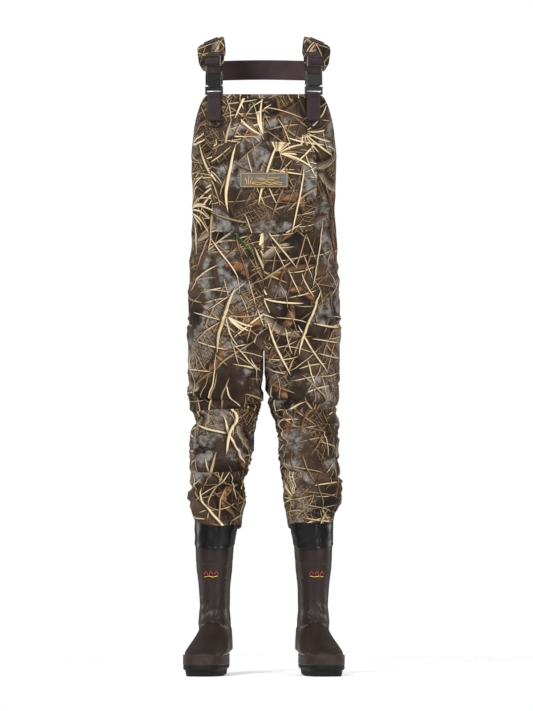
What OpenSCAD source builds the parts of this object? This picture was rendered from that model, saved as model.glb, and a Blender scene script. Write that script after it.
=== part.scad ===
// Boot-foot chest waders: a foam-fabric bib and legs, shoulder straps with
// side-release buckles, and rubber boots. Millimetres, +Z up, the wearer faces -Y,
// and the wearer's left is +X. The origin is on the ground, midway between the boots.

/* [Garment] */
// Thickness of the foam fabric
fabric_t = 4; // [3:0.5:5]
// Height of the crotch above the ground
crotch_h = 812; // [808:1:816]
// Height of the bib's top edge in front
bib_h = 1447; // [1440:1:1450]
// Height of the back panel's top edge
back_h = 1400; // [1380:1:1420]
// Height of the armhole's lowest point
armhole_h = 1292; // [1270:1:1310]
// Distance of the garment's middle behind the origin
garment_y = 46; // [44:1:48]

/* [Pocket] */
// Width of the chest pocket
pocket_w = 244; // [220:2:250]
// Height of the chest pocket
pocket_h = 220; // [200:2:230]
// Depth of the gape at the pocket's hand openings
pocket_gape = 15; // [12:1:18]
// Width of the badge on the pocket
badge_w = 116; // [90:2:120]
// Height of the badge on the pocket
badge_h = 38; // [30:1:44]

/* [Straps] */
// Width of the strap webbing
webbing_w = 38; // [36:1:38]
// Distance between the two straps' middles
strap_gap = 248; // [244:1:250]
// Angle that each strap turns outward to lie on the chest
strap_yaw = 28; // [26:1:30]
// Width of the elastic cross strap at the back
cross_w = 50; // [40:1:52]
// Width of each shoulder pad
pad_w = 66; // [60:1:68]

/* [Hardware] */
// Radius of the D-ring's wire
ring_r = 2.2; // [2:0.1:2.4]
// Width of the buckle's fork
fork_w = 48; // [46:1:50]
// Travel that frees the buckle's socket from its fork
release_travel = 28; // [26:1:30]

/* [Boots] */
// Overall length of the sole
sole_len = 307; // [300:1:310]
// Half width of the sole at the ball of the foot
ball_half = 55; // [52:1:56]
// Half width of the sole at the heel
heel_half = 41; // [38:1:42]
// Thickness of the boot's rubber
rubber_t = 3.5; // [3:0.5:4]
// Angle that each toe points outward
toe_out = 9; // [6:1:10]
// Distance between the two boot shafts' middles
boot_gap = 248; // [246:1:250]

/* [Hidden] */

seam = 1;              // gap left for a sewn seam between two fabric sections
thigh_end_h = 690;     // bottom edge of the thigh sections
knee_end_h = 486;      // bottom edge of the knee sections
hem_h = 388;           // bottom hem of the calf sections
quarter = 15;          // points around a quarter panel
around = 28;           // points around a leg
webbing_t = 2;
pad_t = 8;
strap_x = strap_gap / 2;
strap_y = -66;         // the strap's middle plane on the chest
strap_top_h = 1583;    // the pad's middle on top of the shoulder
ring_bar_h = 1388;     // the D-ring's flat bar
fork_bar_h = 1451.5;   // the fork's lower bar
fork_top_h = 1469.5;
arm_pivot_h = 1472;
arm_pivot_x = 15;
socket_h0 = 1473;
socket_h1 = 1500;
socket_half = 21.5;
socket_hole = 19;      // half width inside the socket
socket_bar_h = 1504.8;
slider_h = 1533;       // the slider's middle
loop_y = -2;           // middle of the adjuster webbing's loop
slider_y = -10;        // middle plane of the slider
sole_top_h = 28;
foxing_top_h = 51;
boot_top_h = 330;
boot_y = 60.5;         // the boot shaft's middle, behind the origin
heel_back = 62;        // the heel's back, behind the shaft's middle

// ---------- small functions ----------
function spow(x, e) = sign(x) * pow(abs(x), e);
function mix(a, b, t) = a + (b - a) * t;
function smooth(t) = let (c = max(0, min(1, t))) c * c * (3 - 2 * c);
function unit(v) = v / norm(v);
function backwards(v) = [for (i = [len(v) - 1:-1:0]) v[i]];

// A closed ring of points, and the same ring moved inward by t.
function oval(hx, hy, n, count) =
    [for (j = [0:count - 1]) let (a = 360 * j / count)
        [hx * spow(cos(a), 2 / n), hy * spow(sin(a), 2 / n)]];
function inset(ring, t) = let (m = len(ring))
    [for (j = [0:m - 1]) let (d = ring[(j + 1) % m] - ring[(j + m - 1) % m])
        ring[j] + t * [-d.y, d.x] / norm(d)];
function place(ring, o, u, v) = [for (p = ring) o + p.x * u + p.y * v];
function level(ring, cx, cy, z) = [for (p = ring) [p.x + cx, p.y + cy, z]];

// ---------- surfaces from rings ----------
// Skin over closed rings. The last ring joins the first, or both ends are capped.
module skin(rings, cyclic = false) {
    m = len(rings[0]);
    n = len(rings);
    function at(i, j) = (i % n) * m + j % m;
    sides = [for (i = [0:n - (cyclic ? 1 : 2)], j = [0:m - 1]) each [
        [at(i, j), at(i + 1, j), at(i + 1, j + 1)],
        [at(i, j), at(i + 1, j + 1), at(i, j + 1)]]];
    caps = cyclic ? [] : [[for (j = [0:m - 1]) j], [for (j = [m - 1:-1:0]) (n - 1) * m + j]];
    polyhedron([for (r = rings) each r], concat(sides, caps), convexity = 6);
}

// A tube with a wall: the outer rings upward, then the inner rings downward.
module tube(outer, inner) {
    skin(concat(outer, backwards(inner)), cyclic = true);
}

// An open curved panel with a wall, from outer and inner rows of points.
module panel(outer, inner) {
    m = len(outer[0]);
    n = len(outer);
    function o(i, j) = i * m + j;
    function k(i, j) = n * m + i * m + j;
    faces = concat(
        [for (i = [0:n - 2], j = [0:m - 2]) each [
            [o(i, j), o(i + 1, j), o(i + 1, j + 1)], [o(i, j), o(i + 1, j + 1), o(i, j + 1)],
            [k(i, j), k(i + 1, j + 1), k(i + 1, j)], [k(i, j), k(i, j + 1), k(i + 1, j + 1)]]],
        [for (j = [0:m - 2]) each [
            [o(0, j), o(0, j + 1), k(0, j + 1)], [o(0, j), k(0, j + 1), k(0, j)],
            [o(n - 1, j), k(n - 1, j + 1), o(n - 1, j + 1)],
            [o(n - 1, j), k(n - 1, j), k(n - 1, j + 1)]]],
        [for (i = [0:n - 2]) each [
            [o(i + 1, 0), o(i, 0), k(i, 0)], [o(i + 1, 0), k(i, 0), k(i + 1, 0)],
            [o(i, m - 1), o(i + 1, m - 1), k(i + 1, m - 1)],
            [o(i, m - 1), k(i + 1, m - 1), k(i, m - 1)]]]);
    polyhedron([for (r = concat(outer, inner)) each r], faces, convexity = 6);
}

// A flat ribbon along stations of [middle, width direction].
module ribbon(stations, w, t) {
    n = len(stations);
    skin([for (i = [0:n - 1])
        let (c = stations[i][0], wide = unit(stations[i][1]) * w / 2,
             thick = ribbon_normal(stations, i) * t / 2)
        [c + wide - thick, c + wide + thick, c - wide + thick, c - wide - thick]]);
}
function ribbon_normal(stations, i) = let (n = len(stations))
    unit(cross(stations[i][1],
               stations[min(i + 1, n - 1)][0] - stations[max(i - 1, 0)][0]));
function ribbon_offset(stations, d) = [for (i = [0:len(stations) - 1])
    [stations[i][0] + d * ribbon_normal(stations, i), stations[i][1]]];

// The wearer's left side as written, the right side mirrored.
module side(right = false) {
    if (right) mirror([1, 0, 0]) children();
    else children();
}

// ---------- the garment's shape ----------
function torso_half_w(z) = lookup(z, [[808, 190], [850, 190], [950, 189], [1100, 180],
                                      [1200, 177.5], [1292, 180], [1350, 176], [1450, 172]]);
function torso_half_d(z) = lookup(z, [[808, 128], [880, 138], [950, 134], [1100, 124],
                                      [1250, 125], [1350, 128], [1450, 126]]);
function torso_square(z) = lookup(z, [[808, 2.2], [1100, 2.4], [1350, 2.6]]);
// Angle 0 is the middle of the chest, 90 the wearer's left side, 180 the middle of the back.
function torso_xy(a, z) = let (e = 2 / torso_square(z))
    [torso_half_w(z) * spow(sin(a), e), garment_y - torso_half_d(z) * spow(cos(a), e)];
function torso_out(a, z) = let (d = torso_xy(a + 2, z) - torso_xy(a - 2, z))
    [d.y, -d.x] / norm(d);
function torso_pt(a, z, out) = let (p = torso_xy(a, z) + out * torso_out(a, z)) [p.x, p.y, z];
function top_edge(a) = let (b = abs(a) > 180 ? 360 - abs(a) : abs(a))
    lookup(b, [[0, bib_h], [52, bib_h], [60, bib_h - 22], [70, bib_h - 47], [80, bib_h - 82],
               [88, armhole_h + 13], [96, armhole_h], [106, armhole_h + 10],
               [120, armhole_h + 48], [135, back_h - 22], [150, back_h - 5], [180, back_h]]);

function leg_x(z) = lookup(z, [[385, 116], [485, 119], [520, 112], [600, 106],
                               [655, 99], [740, 96], [812, 95.5]]);
function leg_y(z) = lookup(z, [[385, 60], [485, 57], [588, 52], [690, 49], [812, garment_y]]);
function leg_half_w(z) = lookup(z, [[388, 63.5], [405, 66], [430, 73], [485, 71], [520, 73],
                                    [600, 78], [655, 82], [690, 88], [740, 90], [812, 93.5]]);
function leg_half_d(z) = lookup(z, [[388, 69], [405, 71], [430, 77], [485, 79], [600, 90],
                                    [690, 102], [740, 110], [812, 120]]);
// Half of the torso's outline, closed along the garment's middle.
function half_torso(z) = [for (j = [0:around - 1]) let (a = 360 * j / around)
    cos(a) >= 0 ? [max(2, torso_half_w(z) * spow(cos(a), 2 / torso_square(z))),
                   torso_half_d(z) * spow(sin(a), 2 / torso_square(z))]
                : [2, torso_half_d(z) * sin(a)]];
function leg_ring(z) = let (s = smooth((z - thigh_end_h) / (crotch_h - thigh_end_h)),
                            o = oval(leg_half_w(z), leg_half_d(z), 2.1, around),
                            d = half_torso(crotch_h))
    [for (j = [0:around - 1])
        mix(o[j] + [leg_x(z), leg_y(z)], d[j] + [0, garment_y], s)];
module leg_section(z0, z1, steps) {
    heights = [for (i = [0:steps]) mix(z0, z1, i / steps)];
    tube([for (z = heights) level(leg_ring(z), 0, 0, z)],
         [for (z = heights) level(inset(leg_ring(z), fabric_t), 0, 0, z)]);
}

// ---------- fabric pieces ----------
module bib_quarter(a0, a1) {
    rows = 13;
    gap = 0.2;   // degrees left at each seam
    function height(a, i) = mix(crotch_h, top_edge(a), i / rows);
    function row(i, out) = [for (j = [0:quarter - 1])
        let (a = mix(a0 + gap, a1 - gap, j / (quarter - 1))) torso_pt(a, height(a, i), out)];
    panel([for (i = [0:rows]) row(i, 0)], [for (i = [0:rows]) row(i, -fabric_t)]);
}
module bib_front() color("saddlebrown") bib_quarter(0, 90);
module back_panel() color("saddlebrown") bib_quarter(90, 180);
module crotch_gusset() color("sienna")
    translate([-9, garment_y - 112, crotch_h + 1.5]) cube([18, 224, 3]);
module thigh() color("peru") leg_section(thigh_end_h, crotch_h - seam, 7);
module knee() color("burlywood") leg_section(knee_end_h, thigh_end_h - seam, 8);
module calf() color("peru") leg_section(hem_h, knee_end_h - seam, 6);
module knee_pad() {
    rows = 8;
    columns = 9;
    function row(i, out) = let (z = mix(506, 668, i / rows), r = leg_ring(z), g = inset(r, -out))
        [for (j = [0:columns - 1]) let (p = g[around / 2 + 3 + j]) [p.x, p.y, z]];
    color("sienna") panel([for (i = [0:rows]) row(i, 3)], [for (i = [0:rows]) row(i, 0.6)]);
}
module top_edge_binding() {
    gap = 0.2;   // the same angles as the panels' own edges
    angles = [for (start = [-180:90:90]) for (j = [0:quarter - 1])
        mix(start + gap, start + 90 - gap, j / (quarter - 1))];
    function ring(out, up) = [for (a = angles) torso_pt(a, top_edge(a), out) + [0, 0, up]];
    color("darkolivegreen")
        tube([ring(1.2, 0.5), ring(1.2, 3)], [ring(-fabric_t - 1.2, 0.5), ring(-fabric_t - 1.2, 3)]);
}
module chest_pocket() {
    rows = 10;
    columns = 20;
    reach = 38;              // the pocket's half width as an angle around the chest
    h0 = bib_h - 122 - pocket_h;
    function lift(i) = 0.8 + (pocket_gape - 0.8) * sin(180 * i / rows);
    function row(i, out) = let (z = h0 + pocket_h * i / rows) [for (j = [0:columns])
        let (a = mix(-reach, reach, j / columns) * pocket_w / 244) torso_pt(a, z, lift(i) + out)];
    color("peru") panel([for (i = [0:rows]) row(i, 3)], [for (i = [0:rows]) row(i, 0)]);
}
module pocket_badge() {
    middle = bib_h - 211;
    reach = 13.4 * badge_w / 116;
    function row(z, out) = [for (j = [0:8])
        torso_pt(mix(-reach, reach, j / 8), z, pocket_gape + 3 + out)];
    heights = [middle - badge_h / 2, middle + badge_h / 2];
    color("dimgray") panel([for (z = heights) row(z, 1.8)], [for (z = heights) row(z, 0.3)]);
}

// ---------- strap hardware, in the strap's own frame ----------
module strap_frame() translate([strap_x, strap_y, 0]) rotate([0, 0, strap_yaw]) children();
// A profile drawn as [y, z], made w wide along X.
module across(w) translate([-w / 2, 0, 0]) rotate([90, 0, 90]) linear_extrude(w) children();
module rod(r, w, y, z) translate([-w / 2, y, z]) rotate([0, 90, 0]) cylinder(r = r, h = w, $fn = 48);

module bib_tab() color("#3a2a2c") strap_frame() across(webbing_w) {
    bar_gap = 0.1;
    sleeve = ring_r + bar_gap + webbing_t;
    difference() {
        union() {
            translate([-webbing_t - 0.1, ring_bar_h]) square([2 * webbing_t + 0.2, fork_bar_h - ring_bar_h]);
            translate([0, ring_bar_h]) circle(sleeve, $fn = 64);
            translate([0, fork_bar_h]) circle(sleeve, $fn = 64);
        }
        translate([0, ring_bar_h]) circle(ring_r + bar_gap, $fn = 64);
        translate([0, fork_bar_h]) circle(ring_r + bar_gap, $fn = 64);
    }
}
module d_ring() color("#3b3f42") strap_frame() translate([0, 0, ring_bar_h]) {
    half = webbing_w / 2 + 2.6;
    bend = 17;
    rod(ring_r, 2 * half, 0, 0);
    for (x = [-half, half]) translate([x, 0, 0]) sphere(ring_r, $fn = 40);
    for (x = [-half, half]) translate([x, 0, -2]) cylinder(r = ring_r, h = 2, $fn = 48);
    for (s = [0, 1]) mirror([s, 0, 0])
        translate([half - bend, 0, -2]) rotate([90, 0, 0]) rotate_extrude(angle = -90, $fn = 72)
            translate([bend, 0]) circle(ring_r, $fn = 40);
    rod(ring_r, 2 * (half - bend), 0, -2 - bend);
}
module buckle_fork() color("#151515") strap_frame() {
    half = fork_w / 2;
    slot = webbing_w / 2 + 1;
    rod(ring_r, 2 * half - 4, 0, fork_bar_h);
    for (s = [-1, 1]) translate([s > 0 ? slot : -half, -3, 1449]) cube([half - slot, 6, 14]);
    translate([-half, -3, 1459]) cube([2 * half, 6, fork_top_h - 1459]);
    translate([-3.5, -1.5, fork_top_h]) cube([7, 3, 22]);
}
// One springy arm of the fork; the wing on it shows through the socket's side.
module fork_arm() color("#1b1b1b") {
    translate([0, 2.5, 0]) rotate([90, 0, 0]) linear_extrude(5)
        union() {
            translate([arm_pivot_x, arm_pivot_h]) circle(2.2, $fn = 40);
            polygon([[12.8, 1472], [17.2, 1472], [18.4, 1479], [19.1, 1483], [19.8, 1486],
                     [21, 1490], [22.3, 1493], [22.3, 1495], [18, 1496.5], [14, 1496.5]]);
        }
}
module fork_arm_outer() strap_frame() fork_arm();
module fork_arm_inner() strap_frame() mirror([1, 0, 0]) fork_arm();
// The thumb plate is on the socket's front, or on its back when the socket is turned.
module buckle_socket(turned = false) color("#262829") strap_frame() {
    h = socket_h1 - socket_h0;
    difference() {
        union() {
            translate([-socket_half, -6, socket_h0]) cube([2 * socket_half, 12, h]);
            for (s = [-1, 1]) translate([s > 0 ? socket_hole + 0.5 : -socket_half, -5, socket_h1])
                cube([socket_half - socket_hole - 0.5, 7, 7.5]);
        }
        translate([-socket_hole, -3.2, socket_h0 - 1]) cube([2 * socket_hole, 6.4, h - 2]);
        for (s = [-1, 1]) translate([s * socket_half - 4, -3.2, 1477]) cube([8, 6.4, 20.5]);
    }
    rod(2, 2 * socket_half - 1, loop_y, socket_bar_h);
    mirror([0, turned ? 1 : 0, 0]) translate([0, -5.9, 0]) rotate([90, 0, 0]) linear_extrude(2.1) {
        translate([-20, 1486]) square([40, socket_h1 - 1486]);
        intersection() {
            translate([0, 1493]) circle(24, $fn = 120);
            translate([-20, 1468]) square([40, 18.1]);
        }
    }
}
module adjuster_webbing() color("#3a2a2c") strap_frame() across(webbing_w) {
    hole = 2.3;
    top = slider_h + 16;
    difference() {
        union() {
            translate([loop_y, socket_bar_h]) circle(hole + webbing_t, $fn = 64);
            translate([loop_y - hole - webbing_t, socket_bar_h])
                square([2 * (hole + webbing_t), top - socket_bar_h]);
            // the sewn end, which tucks in against the shoulder pad
            polygon([[loop_y - hole - webbing_t, top - 0.1], [loop_y + hole + webbing_t, top - 0.1],
                     [5, top + 4], [5, top + 6.5], [2, top + 6]]);
        }
        translate([loop_y, socket_bar_h]) circle(hole, $fn = 64);
        translate([loop_y - hole, socket_bar_h]) square([2 * hole, top - socket_bar_h - webbing_t]);
    }
}
module slider() color("#2a2c2e") strap_frame() {
    half_w = 22.5;
    half_h = 13;
    difference() {
        translate([-half_w, slider_y - 2, slider_h - half_h]) cube([2 * half_w, 4, 2 * half_h]);
        translate([-19.5, slider_y - 3, slider_h - half_h + 3.5]) cube([39, 6, 2 * half_h - 7]);
    }
    rod(1.5, 2 * half_w - 2, slider_y, slider_h);
}
// The webbing that comes through the slider's slots and over its middle bar.
module slider_wrap() color("#3a2a2c") strap_frame() across(webbing_w) difference() {
    polygon([for (p = [[3.1, -9], [3.1, 9], [-1.6, 9], [-3.8, 5], [-3.8, -5], [-1.6, -9]])
        p + [slider_y, slider_h]]);
    polygon([for (p = [[1.7, -7.4], [1.7, 7.4], [-0.8, 7.4], [-2, 4.4], [-2, -4.4], [-0.8, -7.4]])
        p + [slider_y, slider_h]]);
}

// ---------- shoulder straps ----------
front_across = [cos(26), sin(26), 0];
top_across = [cos(22), 0, -sin(22)];
back_across = [cos(strap_yaw), -sin(strap_yaw), 0];
// The pad's middle, from its front end over the shoulder to its back end.
pad_path = [
    [[strap_x + 5, strap_y + 18, 1510], front_across],
    [[strap_x + 5, strap_y + 18.5, 1530], front_across],
    [[strap_x + 6, strap_y + 25, 1553], mix(front_across, top_across, 0.3)],
    [[strap_x + 7, strap_y + 42, 1571], mix(front_across, top_across, 0.75)],
    [[strap_x + 7, strap_y + 70, strap_top_h - 2.5], top_across],
    [[strap_x + 7, strap_y + 105, strap_top_h], top_across],
    [[strap_x + 6, strap_y + 140, strap_top_h - 4.5], mix(top_across, back_across, 0.1)],
    [[strap_x + 4, strap_y + 172, 1563], mix(top_across, back_across, 0.4)],
    [[strap_x + 2, strap_y + 196, 1539], mix(top_across, back_across, 0.8)]
];
module shoulder_pad() color("peru") ribbon(pad_path, pad_w, pad_t);
module shoulder_webbing() color("#3a2a2c") {
    lift = pad_t / 2 + webbing_t / 2 + 1.5;
    on_pad = ribbon_offset([for (i = [3:8]) pad_path[i]], lift);
    down_back = [[[strap_x, 156, 1508], back_across], [[strap_x - 3, 162, 1460], back_across],
                 [[strap_x - 6, 159, 1398], back_across], [[strap_x - 8, 158.5, 1336], back_across]];
    ribbon(concat(on_pad, down_back), webbing_w, webbing_t);
}
module cross_strap() color("#3a2a2c") {
    h = 1515;
    up = [0, 0, 1];
    half_path = [[[0, 174, h], up], [[45, 173, h], up], [[78, 171, h], up], [[96, 167, h], up]];
    mirrored = [for (i = [3:-1:1]) [[-half_path[i][0].x, half_path[i][0].y, h], up]];
    ribbon(concat(mirrored, half_path), cross_w, 2.4);
}

// ---------- boots, in the boot's own frame: the shaft's middle is the origin ----------
module boot_frame() translate([boot_gap / 2, boot_y, 0]) rotate([0, 0, toe_out]) children();
function sole_half_w(s) = mix(heel_half, ball_half, smooth((s - 0.25) / 0.4))
    * pow(1 - pow(abs(2 * s - 1), 6), 1 / 2.4);
// The sole's outline, s running from the heel to the toe, made smaller all round by t.
function sole_side(t, sign) = [for (i = [1:31]) let (s = (1 - cos(180 * i / 32)) / 2)
    [sign * (sole_half_w(s) - t * (sole_half_w(s) > t + 2 ? 1 : 0.5)) - 3 * sin(180 * s),
     heel_back - t - s * (sole_len - 2 * t)]];
function sole_outline(t) = concat([[0, heel_back - t]], sole_side(t, -1),
                                  [[0, heel_back - sole_len + t]], backwards(sole_side(t, 1)));
module outsole() color("#161616") boot_frame() difference() {
    linear_extrude(sole_top_h - 0.2) polygon(sole_outline(2));
    translate([-80, -62, -1]) cube([160, 46, 8]);              // the raised shank
    for (y = [-214:24:-80]) translate([-80, y, -1]) cube([160, 7, 6]);   // cross grooves
    for (y = [16, 40]) translate([-80, y, -1]) cube([160, 5, 5]);
}
module foxing() color("#43302b") boot_frame() translate([0, 0, sole_top_h]) linear_extrude(foxing_top_h - sole_top_h)
    difference() {
        polygon(sole_outline(0));
        polygon(sole_outline(2.4));
    }
module insole() color("gray") boot_frame() translate([0, -14, sole_top_h + rubber_t + 3])
    linear_extrude(4) scale([0.58, 0.76]) polygon(sole_outline(0));

// Rings of the upper from the toe to the top: [middle, half width, half depth, plane's turn].
instep = [0, -50, 132];    // the crease in front of the ankle
function foot_ring(y, top, half_w) = [[-3, y, (top + sole_top_h) / 2], half_w, (top - sole_top_h) / 2, 90];
function heel_ring(turn, reach) = let (v = [0, cos(turn), -sin(turn)])
    [instep + v * reach / 2 - [3 * turn / 90, 0, 0], mix(40, 41, turn / 90), reach / 2, turn];
function shaft_ring(z, half_w, half_d, y) = [[0, y, z], half_w, half_d, 0];
boot_rings = [
    foot_ring(-237, 40, 10), foot_ring(-232, 52, 24), foot_ring(-222, 64, 36),
    foot_ring(-203, 72, 44), foot_ring(-175, 79, 49), foot_ring(-140, 88, 50),
    foot_ring(-105, 102, 48), foot_ring(-75, 118, 44),
    heel_ring(90, 104), heel_ring(72, 109), heel_ring(58, 122), heel_ring(50, 135),
    heel_ring(44, 138), heel_ring(32, 125), heel_ring(16, 112), heel_ring(0, 108),
    shaft_ring(165, 38, 53, 5), shaft_ring(200, 38, 52, 4), shaft_ring(240, 41, 54, 2),
    shaft_ring(285, 45, 55, 0), shaft_ring(boot_top_h, 47, 56, 0)
];
function boot_section(r, t) = let (
        foot = smooth(r[3] / 60), count = 28,
        w = r[1] - t, d = r[2] - t, flat = mix(2.1, 4.5, foot))
    place([for (j = [0:count - 1]) let (a = 360 * j / count, n = sin(a) > 0 ? flat : 2.1)
              [w * spow(cos(a), 2 / n), d * spow(sin(a), 2 / n)]],
          r[0], [1, 0, 0], [0, cos(r[3]), -sin(r[3])]);
// The shaft's top edge rises towards the back, and the foot stays inside the foxing.
function boot_fit(p, t) = let (
        s = (heel_back - p.y) / sole_len, middle = -3 * sin(180 * s),
        room = sole_half_w(max(0.012, min(0.988, 0.5 + 1.03 * (s - 0.5)))) - 5.4 - t + 60 * smooth((p.z - 50) / 50))
    [max(middle - room, min(middle + room, p.x)), p.y,
     p.z + 0.22 * p.y * smooth((p.z - 240) / 80)];
module boot_upper() color("#3b2a26") boot_frame() {
    outer = [for (r = boot_rings) [for (p = boot_section(r, 0)) boot_fit(p, 0)]];
    inner = [for (i = [2:len(boot_rings) - 1])
        [for (p = boot_section(boot_rings[i], rubber_t)) boot_fit(p, rubber_t)]];
    skin(concat(outer, backwards(inner)));
}
// The collar hugs the shaft's top edge from outside and ends under the calf's hem.
module boot_collar() {
    heights = [326, 338, 352, 378, 405];
    function ring(z, t) = let (k = (z - 326) / 79,
                               half_w = lookup(z, [[326, 51.4], [352, 53.2], [382, 57], [405, 57.5]]))
        [for (p = oval(half_w - t, mix(61.5, 64, k) - t, 2.1, around))
            [p.x + mix(123.5, 116.5, k), p.y + boot_y, z + 0.22 * p.y * (1 - k)]];
    color("#141414") tube([for (z = heights) ring(z, 0)], [for (z = heights) ring(z, 2.2)]);
}

// ---------- output ----------
bib_front();  // bib_front_left
side(true) bib_front();  // bib_front_right
back_panel();  // back_panel_left
side(true) back_panel();  // back_panel_right
crotch_gusset();
thigh();  // thigh_left
side(true) thigh();  // thigh_right
knee();  // knee_left
side(true) knee();  // knee_right
knee_pad();  // knee_pad_left
side(true) knee_pad();  // knee_pad_right
calf();  // calf_left
side(true) calf();  // calf_right
top_edge_binding();
chest_pocket();
pocket_badge();
bib_tab();  // bib_tab_left
side(true) bib_tab();  // bib_tab_right
d_ring();  // d_ring_left
side(true) d_ring();  // d_ring_right
buckle_fork();  // buckle_fork_left
side(true) buckle_fork();  // buckle_fork_right
fork_arm_outer();  // fork_arm_left_outer
fork_arm_inner();  // fork_arm_left_inner
side(true) fork_arm_outer();  // fork_arm_right_outer
side(true) fork_arm_inner();  // fork_arm_right_inner
buckle_socket(true);  // buckle_socket_left
side(true) buckle_socket();  // buckle_socket_right
adjuster_webbing();  // adjuster_webbing_left
side(true) adjuster_webbing();  // adjuster_webbing_right
slider();  // slider_left
side(true) slider();  // slider_right
slider_wrap();  // slider_wrap_left
side(true) slider_wrap();  // slider_wrap_right
shoulder_pad();  // shoulder_pad_left
side(true) shoulder_pad();  // shoulder_pad_right
shoulder_webbing();  // shoulder_webbing_left
side(true) shoulder_webbing();  // shoulder_webbing_right
cross_strap();
boot_collar();  // boot_collar_left
side(true) boot_collar();  // boot_collar_right
boot_upper();  // boot_upper_left
side(true) boot_upper();  // boot_upper_right
foxing();  // foxing_left
side(true) foxing();  // foxing_right
outsole();  // outsole_left
side(true) outsole();  // outsole_right
insole();  // insole_left
side(true) insole();  // insole_right
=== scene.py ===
"""Looks for boot-foot chest waders. Metres, +Z up, the wearer faces -Y, +X is the wearer's left."""

import math
import random

import bpy
import numpy as np
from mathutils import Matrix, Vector


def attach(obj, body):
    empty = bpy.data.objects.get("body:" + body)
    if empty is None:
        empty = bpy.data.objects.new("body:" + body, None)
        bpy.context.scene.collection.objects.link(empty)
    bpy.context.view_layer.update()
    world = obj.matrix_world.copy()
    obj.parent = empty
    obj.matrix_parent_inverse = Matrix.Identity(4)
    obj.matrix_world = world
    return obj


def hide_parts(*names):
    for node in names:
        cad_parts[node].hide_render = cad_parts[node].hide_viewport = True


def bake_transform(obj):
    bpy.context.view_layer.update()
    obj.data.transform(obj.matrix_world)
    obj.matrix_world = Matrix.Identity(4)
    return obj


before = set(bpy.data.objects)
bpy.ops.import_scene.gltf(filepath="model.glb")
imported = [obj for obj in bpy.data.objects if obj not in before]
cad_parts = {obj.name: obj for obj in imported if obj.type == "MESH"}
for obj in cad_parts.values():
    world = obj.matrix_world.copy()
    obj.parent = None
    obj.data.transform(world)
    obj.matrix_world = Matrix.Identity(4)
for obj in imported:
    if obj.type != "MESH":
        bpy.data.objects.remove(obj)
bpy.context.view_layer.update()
MM = 0.001
PI = math.pi
SIDES = {"left": 1, "right": -1}   # the sign of x on each side


# ---------------------------------------------------------------- shader building

class Value:
    """A number or colour in a node tree. Arithmetic on it adds Math nodes."""

    def __init__(self, shader, out):
        self.shader, self.out = shader, out

    def op(self, kind, *others):
        return self.shader.math(kind, self, *others)

    def __add__(self, other):
        return self.op("ADD", other)

    def __sub__(self, other):
        return self.op("SUBTRACT", other)

    def __mul__(self, other):
        return self.op("MULTIPLY", other)

    def __truediv__(self, other):
        return self.op("DIVIDE", other)

    def __abs__(self):
        return self.op("ABSOLUTE")

    def floor(self):
        return self.op("FLOOR")

    def fract(self):
        return self.op("FRACT")

    def sin(self):
        return self.op("SINE")


class Shader:
    """A material made of nodes, with short calls for the ones used here."""

    def __init__(self, name):
        self.material = bpy.data.materials.new(name)
        self.material.use_nodes = True
        self.tree = self.material.node_tree
        self.surface = self.tree.nodes["Principled BSDF"]

    def feed(self, socket, value):
        if isinstance(value, Value):
            self.tree.links.new(value.out, socket)
        else:
            socket.default_value = value

    def node(self, kind, inputs=None, **settings):
        n = self.tree.nodes.new("ShaderNode" + kind)
        for key, value in settings.items():
            setattr(n, key, value)
        for key, value in (inputs or {}).items():
            self.feed(n.inputs[key], value)
        return n

    def math(self, kind, *values):
        return Value(self, self.node("Math", dict(enumerate(values)), operation=kind).outputs[0])

    def mix(self, amount, a, b):
        n = self.node("Mix", {0: amount, 6: a, 7: b}, data_type="RGBA")
        return Value(self, n.outputs[2])

    def step(self, value, low, high):
        """Rises smoothly from 0 at low to 1 at high."""
        n = self.node("MapRange", {"Value": value, "From Min": low, "From Max": high},
                      interpolation_type="SMOOTHSTEP")
        return Value(self, n.outputs["Result"])

    def vector(self, x, y, z=0.0):
        return Value(self, self.node("CombineXYZ", {0: x, 1: y, 2: z}).outputs[0])

    def cloth_xy(self):
        """Metres along and up the cloth, from its own UV map."""
        uv = Value(self, self.node("UVMap", uv_map="cloth").outputs[0])
        n = self.node("SeparateXYZ", {0: uv})
        return Value(self, n.outputs[0]), Value(self, n.outputs[1])

    def place(self):
        return Value(self, self.node("TexCoord").outputs["Object"])

    def noise(self, at, scale, detail=2.0, rough=0.5):
        n = self.node("TexNoise", {"Vector": at, "Scale": scale, "Detail": detail, "Roughness": rough})
        return Value(self, n.outputs[0])

    def grain(self, along):
        """Uneven stripes along one direction, 0 to 1."""
        return (along * 6.3).sin() * 0.28 + (along * 14.9 + 1.0).sin() * 0.22 + 0.5

    def speck(self, x, y):
        """Three random numbers for each whole x and y."""
        n = self.node("TexWhiteNoise", {"W": y * 613.0 + x}, noise_dimensions="1D")
        c = self.node("SeparateColor", {0: Value(self, n.outputs["Color"])})
        return [Value(self, c.outputs[i]) for i in range(3)]

    def use(self, group, **values):
        """Puts in a Group, and gives its colour."""
        n = self.node("Group", node_tree=group.tree)
        for key, value in values.items():
            self.feed(n.inputs[key], value)
        return Value(self, n.outputs[0])

    def bump(self, height, strength, distance, normal=None):
        inputs = {"Height": height, "Strength": strength, "Distance": distance}
        if normal is not None:
            inputs["Normal"] = normal
        return Value(self, self.node("Bump", inputs).outputs[0])

    def finish(self, **values):
        """Sets the surface's sockets: base_color becomes Base Color, and so on."""
        for key, value in values.items():
            words = key.replace("_", " ").title().replace("Ior", "IOR")
            self.feed(self.surface.inputs[words], value)
        return self.material


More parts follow.
